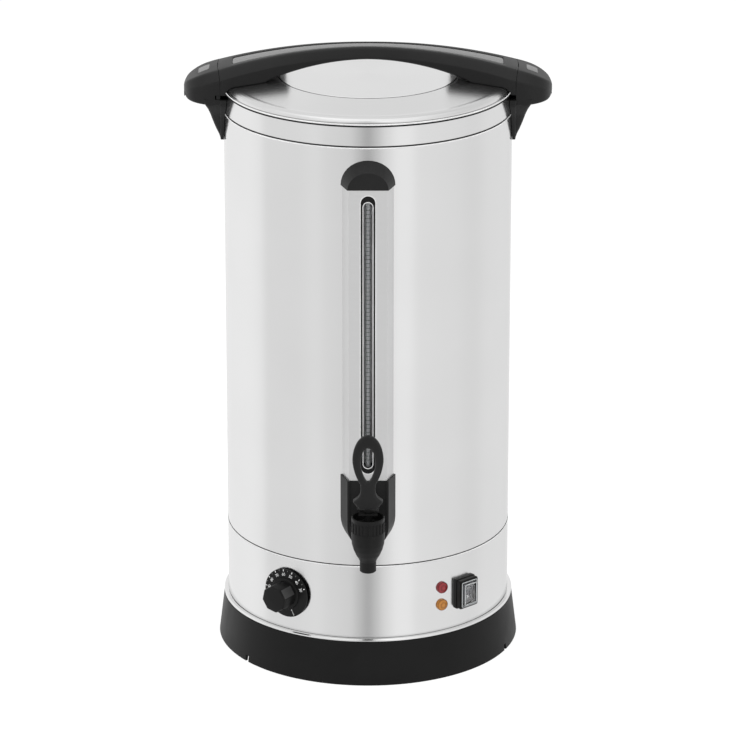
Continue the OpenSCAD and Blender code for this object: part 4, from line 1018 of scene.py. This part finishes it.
# degrees from the top to the first number and from one to the next, and their distance from the middle
dial_start, dial_step, number_radius = 68.0, 25.0, 20.0
numbers = list(range(first_number, last_number + 1, number_step))
for place, value in enumerate(numbers):
    dial_number(str(value), dial_start - dial_step * place, number_radius, 4.3 if value < 100 else 3.7)
bold = [dial_bar(dial_start - dial_step * i, 23.2, 25.2, 0.85) for i in range(len(numbers))]
faint = [dial_bar(dial_start - dial_step * (i + 0.5), 23.6, 25.0, 0.5) for i in range(len(numbers) - 1)]
rest_mark = [dial_bar(156, 17.8, 19.2, 0.9), dial_bar(156, 19.8, 24.6, 0.55)]
new_piece("dial_ticks", together(*bold, *rest_mark), "print_white", "knob")
new_piece("dial_fine_ticks", together(*faint), "print_grey", "knob")
print(len(numbers), "numbers and", len(bold) + len(faint), "ticks")

# %% [markdown]
# ## The lamps' lenses
# A lens is pressed with a rim round its dome and a ring on it, and both look darker than the rest:
# the darker colour of these hoops is painted shade. They could be a darker colour painted flat in
# rings, but thin raised hoops also catch the light.

# %% Ring the lenses
def lens_rings(node):
    """Two hoops of painted shade on a lens, one at its rim and one on its dome."""
    middle = (low(node) + high(node)) / 2
    outward = Vector((middle.x, middle.y, 0)).normalized()
    matrix = wall_frame(outward, outward * drum_r + Vector((0, 0, middle.z)))
    skin = surface_of(node, matrix)
    rings = []
    for radius, thick in ((5.4, 0.6), (2.9, 0.4)):
        out = skin(radius, 0)
        rings.append(loft([[Vector((r * math.cos(a), r * math.sin(a), out + lift)) * MM
                            for r, lift in ((radius - thick, -0.3), (radius - thick * 0.6, 0.35),
                                            (radius + thick * 0.6, 0.35), (radius + thick, -0.3))]
                           for a in (math.tau * i / 48 for i in range(48))], closed=True))
    points, faces = together(*rings)
    return on(matrix, points), faces


new_piece("red_lens_rings", lens_rings("pilot_lamp_red"), "red_rim_shade", "urn")
new_piece("amber_lens_rings", lens_rings("pilot_lamp_amber"), "amber_rim_shade", "urn")
print("two ringed lenses")

# %% [markdown]
# ## The mains switch
# A clear soft cover sits on the switch. What shows of it is its edge: a bright line where it is
# clamped, and another round the raised part over the rocker. Clear plastic alone shows such lines
# only in a bright room with many things to mirror, so each is a thin pale bead. The rocker carries
# the plain marks of on and off.

# %% Build the cover's edges
switch_out = Vector((rocker_place.x, rocker_place.y, 0)).normalized()
switch_place = switch_out * drum_r + Vector((0, 0, rocker_place.z))
switch_frame = wall_frame(switch_out, switch_place)


def bead_frame(half_w, half_h, out, thick, radius):
    """A thin bead along a rounded rectangle on the wall."""
    corners = [(-half_w, -half_h), (half_w, -half_h), (half_w, half_h), (-half_w, half_h)]
    path = soften(corners, [radius] * 4)
    rings = []
    for i, spot in enumerate(path):
        ahead = (path[(i + 1) % len(path)] - path[i - 1]).normalized()
        side = Vector((ahead.y, -ahead.x))
        rings.append([Vector((*(spot + side * thick * math.cos(t)), out + thick * math.sin(t))) * MM
                      for t in (math.tau * k / 8 for k in range(8))])
    points, faces = loft(rings, closed=True)
    return on(switch_frame, points), faces


edges = together(bead_frame(10.1, 13.1, 8.15, 0.36, 1.2), bead_frame(7.9, 10.8, 10.1, 0.34, 1.2))
new_piece("cover_edges", edges, "cover_edge", "urn")
print("cover edges of", len(edges[1]), "faces")

# %% Print the rocker's marks
def rocker_marks():
    """A ring for off and a bar for on, printed on the rocker."""
    skin = surface_of("rocker", switch_frame)

    def printed(x, y, lift):
        return Vector((x, y, skin(x, y) + lift)) * MM

    ring = []
    for i in range(28):
        a = math.tau * i / 28
        ring.append([printed(r * math.cos(a), -5.2 + r * math.sin(a), lift)
                     for r, lift in ((1.35, -0.2), (1.9, -0.2), (1.9, 0.06), (1.35, 0.06))])
    bar = [[printed(x, y, lift) for x, lift in ((-0.3, -0.2), (0.3, -0.2), (0.3, 0.06), (-0.3, 0.06))]
           for y in (3.2, 4.4, 5.6, 6.8)]
    points, faces = together(loft(ring, closed=True), loft(bar))
    return on(switch_frame, points), faces


rocker_print = rocker_marks()
new_piece("rocker_signs", rocker_print, "print_white", "rocker")
print("rocker signs of", len(rocker_print[1]), "faces")

# %% [markdown]
# ## The sight gauge
# The slot in the column has a folded edge that shows as a thin bright line. The fold is too narrow
# to model as bent sheet, so a pale bead along the slot's outline stands for it, with a painted
# highlight. The glass carries a ladder of fine dark marks, each a thin plate bent round the tube,
# with every fifth one wider.

# %% The slot's edge
gauge_low, gauge_high = low("gauge_frame").z, high("gauge_frame").z
window_low, window_high = low("gauge_trim").z, high("gauge_trim").z
column_front = low("gauge_column").y


def slot_bead(half, low_z, high_z, y, thick):
    """A pale bead along a slot with round ends, on the column's face: a painted highlight on its edge."""
    path = [(half * math.cos(a), high_z - half + half * math.sin(a))
            for a in (math.pi * i / 16 for i in range(17))]
    path += [(half * math.cos(a), low_z + half + half * math.sin(a))
             for a in (math.pi + math.pi * i / 16 for i in range(17))]
    rings = []
    for i, (x, z) in enumerate(path):
        ahead = Vector(path[(i + 1) % len(path)]) - Vector(path[i - 1])
        ahead.normalize()
        rings.append([(x + ahead.y * thick * math.cos(t), y - 0.6 * thick * math.sin(t),
                       z - ahead.x * thick * math.cos(t)) for t in (math.tau * k / 8 for k in range(8))])
    return loft(rings, closed=True)


new_piece("slot_edge", slot_bead(7.5 * MM, gauge_low, gauge_high, column_front, 0.35 * MM),
          "edge_highlight_pale", "urn")
print("the slot runs from", round(gauge_low, 3), "to", round(gauge_high, 3), "m")

# %% The marks on the glass
def ladder():
    """Marks on the front of the tube, from the bottom of the window to its top."""
    tube_y = (low("gauge_tube").y + high("gauge_tube").y) / 2
    tube_r = high("gauge_tube").x
    spacing, bars = 4.2 * MM, []
    count = int((window_high - window_low - 12 * MM) / spacing)
    for i in range(count):
        z = window_low + 8 * MM + spacing * i
        reach = 1.0 if i % 5 == 0 else 0.62
        ring = []
        for k in range(9):
            a = (k / 8 - 0.5) * 2 * reach
            ring.append([(r * math.sin(a), tube_y - r * math.cos(a), z + h)
                         for r, h in ((tube_r, -0.28 * MM), (tube_r + 0.05 * MM, -0.28 * MM),
                                      (tube_r + 0.05 * MM, 0.28 * MM), (tube_r, 0.28 * MM))])
        bars.append(loft(ring))
    return together(*bars)


marks = new_piece("gauge_marks", ladder(), "print_dark", "urn")
print("gauge marks of", len(marks.data.polygons), "faces")

# %% [markdown]
# ## Seams
# Each joint between two rings of steel is a dark line with a bright rolled edge beside it. Real
# sheets leave a gap there, but a gap this fine would flicker in a small render. A thin dark band
# of painted shade lies in each joint instead, and a fine pale bead stands for the rolled edge, with
# a painted highlight.

# %% Build the seams
def hoop(profile):
    """A ring round the drum's axis, from its outline as (radius, height)."""
    return loft([[(r * math.sin(a), -r * math.cos(a), z) for r, z in profile]
                 for a in (math.tau * i / 180 for i in range(180))], closed=True)


def seam(z, dark, bright):
    """A dark band of painted shade of the given height, with a pale bead just under it for a painted highlight."""
    out = drum_r + 0.1 * MM
    foot, head = z - dark / 2, z + dark / 2
    shade_band = hoop([(out - MM, foot), (out, foot), (out, head), (out - MM, head)])
    middle = z - dark / 2 - bright
    bead = hoop([(drum_r - 0.1 * MM + bright * 0.5 * math.cos(t), middle + bright * math.sin(t))
                 for t in (math.tau * k / 10 for k in range(10))])
    return shade_band, bead


shell_low = low("outer_shell").z
band_low = min(v.co.z for v in nodes["tank"].data.vertices if v.co.xy.length > drum_r - 0.2 * MM)
band_joint_shade, band_bead = seam(band_low - 0.3 * MM, 1.5 * MM, 0.7 * MM)
lower_joint_shade, lower_bead = seam(shell_low - 0.3 * MM, 1.0 * MM, 0.75 * MM)
rim_joint_shade, _ = seam(rim_z + 0.4 * MM, 1.3 * MM, 0.5 * MM)
# dark bands of painted shade in the joints, and pale beads of painted highlight under two of them
new_piece("seam_shade_lines", together(band_joint_shade, lower_joint_shade, rim_joint_shade), "shade_line_dark", "urn")
new_piece("seam_beads", together(band_bead, lower_bead), "edge_highlight_pale", "urn")
print("three seams, the lowest at", round(shell_low, 3), "m")

# %% [markdown]
# ## The lid's hem and crease
# The lid is one sheet: its rim is rolled into a bright hem, a fold runs just inside it, and a
# pressed crease runs round its raised middle. A bump in the material could fake the crease, but
# not its dark line from the side. So all three are thin hoops that lie on the sheet: the hem's is
# pale, a painted highlight, and those in the fold and the crease are darker, painted shade.

# %% Build the hem, the fold and the crease
# a pale bead on the hem, painted highlight
hem_bead = hoop([(drum_r + 0.35 * MM * math.cos(t), rim_z + 1.9 * MM + 0.55 * MM * math.sin(t))
                 for t in (math.tau * k / 10 for k in range(10))])
new_piece("hem_edge", hem_bead, "edge_highlight_pale", "lid")
# a grey hoop of painted shade in the fold
hem_fold_shade = hoop([(drum_r - 2.6 * MM, hem_top - 0.2 * MM), (drum_r - 1.7 * MM, hem_top - 0.2 * MM),
                 (drum_r - 1.7 * MM, hem_top + 0.12 * MM), (drum_r - 2.6 * MM, hem_top + 0.5 * MM)])
new_piece("hem_fold_shade", hem_fold_shade, "crease_shade_steel", "lid")
crease_z = plateau_z + lid_slope * (plateau_r - 90.4 * MM)
crease = hoop([(90.0 * MM, crease_z - 0.3 * MM), (90.7 * MM, crease_z - 0.3 * MM),
               (90.7 * MM, crease_z + 0.04 * MM), (90.0 * MM, crease_z + 0.14 * MM)])
# the crease's dark line is painted shade
new_piece("lid_crease_shade", crease, "shade_line_dark", "lid")
print("the crease lies at", round(crease_z, 4), "m")

# %% [markdown]
# ## The studio
# Brushed steel has no colour of its own: it shows the room. Lamps alone would give it hard spots
# on black. The room here is white, with a few soft changes from left to right and from low to
# high, written as two ramps. Matt surfaces see an even pale room and three soft lamps, and the
# camera sees plain white.

# %% The room's brightness
# degrees from the tap towards the right, and how bright the wall is there
room_walls = [(-180, 0.90), (-110, 1.0), (-98, 0.97), (-88, 0.84), (-60, 0.84), (-42, 0.88),
              (-32, 0.82), (-14, 0.78), (-7, 0.62), (0, 0.44), (7, 0.64), (14, 0.84), (24, 0.98),
              (33, 0.98), (42, 0.88), (70, 0.86), (94, 0.82), (114, 0.87), (135, 0.86), (160, 0.80),
              (180, 0.90)]
# sine of the height over the horizon, and how bright the room is there against its walls
room_heights = [(0.0, 1.0), (0.3, 1.0), (0.45, 0.96), (0.68, 0.86), (0.84, 1.0), (0.94, 1.3), (1.0, 1.3)]


def ramp_node(tree, factor, stops):
    """A smooth ramp of greys, from stops of (place, brightness)."""
    ramp = add_node(tree, "ShaderNodeValToRGB", _0=factor)
    ramp.color_ramp.interpolation = "EASE"
    elements = ramp.color_ramp.elements
    while len(elements) < len(stops):
        elements.new(0.5)
    for element, (place, level) in zip(elements, stops):
        element.position = place
        element.color = (level, level, level, 1)
    return ramp.outputs[0]


print("a room of", len(room_walls), "walls and", len(room_heights), "heights")

# %% Build the room
matt_level = 0.62


def build_room():
    """The room as the world's light: mirror rays see its walls, matt surfaces an even level."""
    world = bpy.data.worlds.new("white_room")
    world.use_nodes = True
    bpy.context.scene.world = world
    tree = world.node_tree
    tree.nodes.clear()
    direction = add_node(tree, "ShaderNodeTexCoord").outputs["Generated"]
    split = add_node(tree, "ShaderNodeSeparateXYZ", _0=direction).outputs
    angle = math_node(tree, "ARCTAN2", split[0], math_node(tree, "MULTIPLY", split[1], -1.0))
    share = add_node(tree, "ShaderNodeMapRange", Value=angle, From_Min=-math.pi, From_Max=math.pi)
    turns = [((degrees + 180) / 360, level) for degrees, level in room_walls]
    around = ramp_node(tree, share.outputs[0], turns)
    upward = ramp_node(tree, split[2], room_heights)
    walls = add_node(tree, "ShaderNodeVectorMath", {"operation": "MULTIPLY"}, _0=around, _1=upward)
    rays = add_node(tree, "ShaderNodeLightPath").outputs
    seen = math_node(tree, "MAXIMUM", rays["Is Glossy Ray"], rays["Is Transmission Ray"])
    wall = add_node(tree, "ShaderNodeBackground", Color=walls.outputs[0], Strength=1.0)
    soft = add_node(tree, "ShaderNodeBackground", Color=(1, 1, 1, 1), Strength=matt_level)
    white = add_node(tree, "ShaderNodeBackground", Color=(1, 1, 1, 1), Strength=1.0)
    lit = add_node(tree, "ShaderNodeMixShader", _0=seen, _1=soft.outputs[0], _2=wall.outputs[0])
    shown = add_node(tree, "ShaderNodeMixShader", _0=rays["Is Camera Ray"], _1=lit.outputs[0],
                     _2=white.outputs[0])
    out = add_node(tree, "ShaderNodeOutputWorld")
    tree.links.new(shown.outputs[0], out.inputs[0])


build_room()
print("room", bpy.context.scene.world.name)

# %% [markdown]
# ## The floor and the lamps
# The floor is pale and takes the urn's shadow. Lit to full white it would need lamps that burn out
# the steel, so most of its white is a glow for the camera alone, and the lamps stay at a plain
# level. Mirror rays pass through it: a floor in the drum would end in a hard line at its foot. The
# three lamps are large, because a large lamp gives a soft shadow, and they stay out of mirrors too.

# %% Build the floor and the lamps
camera_glow, glow_share = 1.12, 0.8


def build_floor(radius=6.0):
    """The floor, which glows for the camera alone and isn't mirrored."""
    mesh = bpy.data.meshes.new("floor")
    mesh.from_pydata([(-radius, -radius, 0), (radius, -radius, 0), (radius, radius, 0), (-radius, radius, 0)],
                     [], [(0, 1, 2, 3)])
    floor = bpy.data.objects.new("floor", mesh)
    bpy.context.scene.collection.objects.link(floor)
    material = bpy.data.materials.new("pale_floor")
    material.use_nodes = True
    tree = material.node_tree
    tree.nodes.clear()
    matt = add_node(tree, "ShaderNodeBsdfDiffuse", Color=(0.9, 0.9, 0.9, 1))
    white = add_node(tree, "ShaderNodeEmission", Color=(1, 1, 1, 1), Strength=camera_glow)
    rays = add_node(tree, "ShaderNodeLightPath").outputs
    share = math_node(tree, "MULTIPLY", rays["Is Camera Ray"], glow_share)
    mix = add_node(tree, "ShaderNodeMixShader", _0=share, _1=matt.outputs[0], _2=white.outputs[0])
    out = add_node(tree, "ShaderNodeOutputMaterial")
    tree.links.new(mix.outputs[0], out.inputs[0])
    mesh.materials.append(material)
    floor.visible_glossy = False


def soft_lamp(name, place, size, watts):
    """A large lamp that looks at the middle of the drum."""
    data = bpy.data.lights.new(name, "AREA")
    data.shape = "RECTANGLE"
    data.size, data.size_y = size
    data.energy = watts
    lamp = bpy.data.objects.new(name, data)
    lamp.location = place
    lamp.rotation_euler = (Vector((0, 0, 0.3)) - Vector(place)).to_track_quat("-Z", "Y").to_euler()
    lamp.visible_glossy = False
    bpy.context.scene.collection.objects.link(lamp)


build_floor()
soft_lamp("key_left", (-1.7, -1.6, 1.9), (1.2, 1.6), 26)
soft_lamp("fill_right", (1.9, -1.2, 1.4), (1.0, 1.6), 14)
soft_lamp("top", (0, 0.2, 2.4), (1.6, 1.6), 18)
print("floor and three lamps")
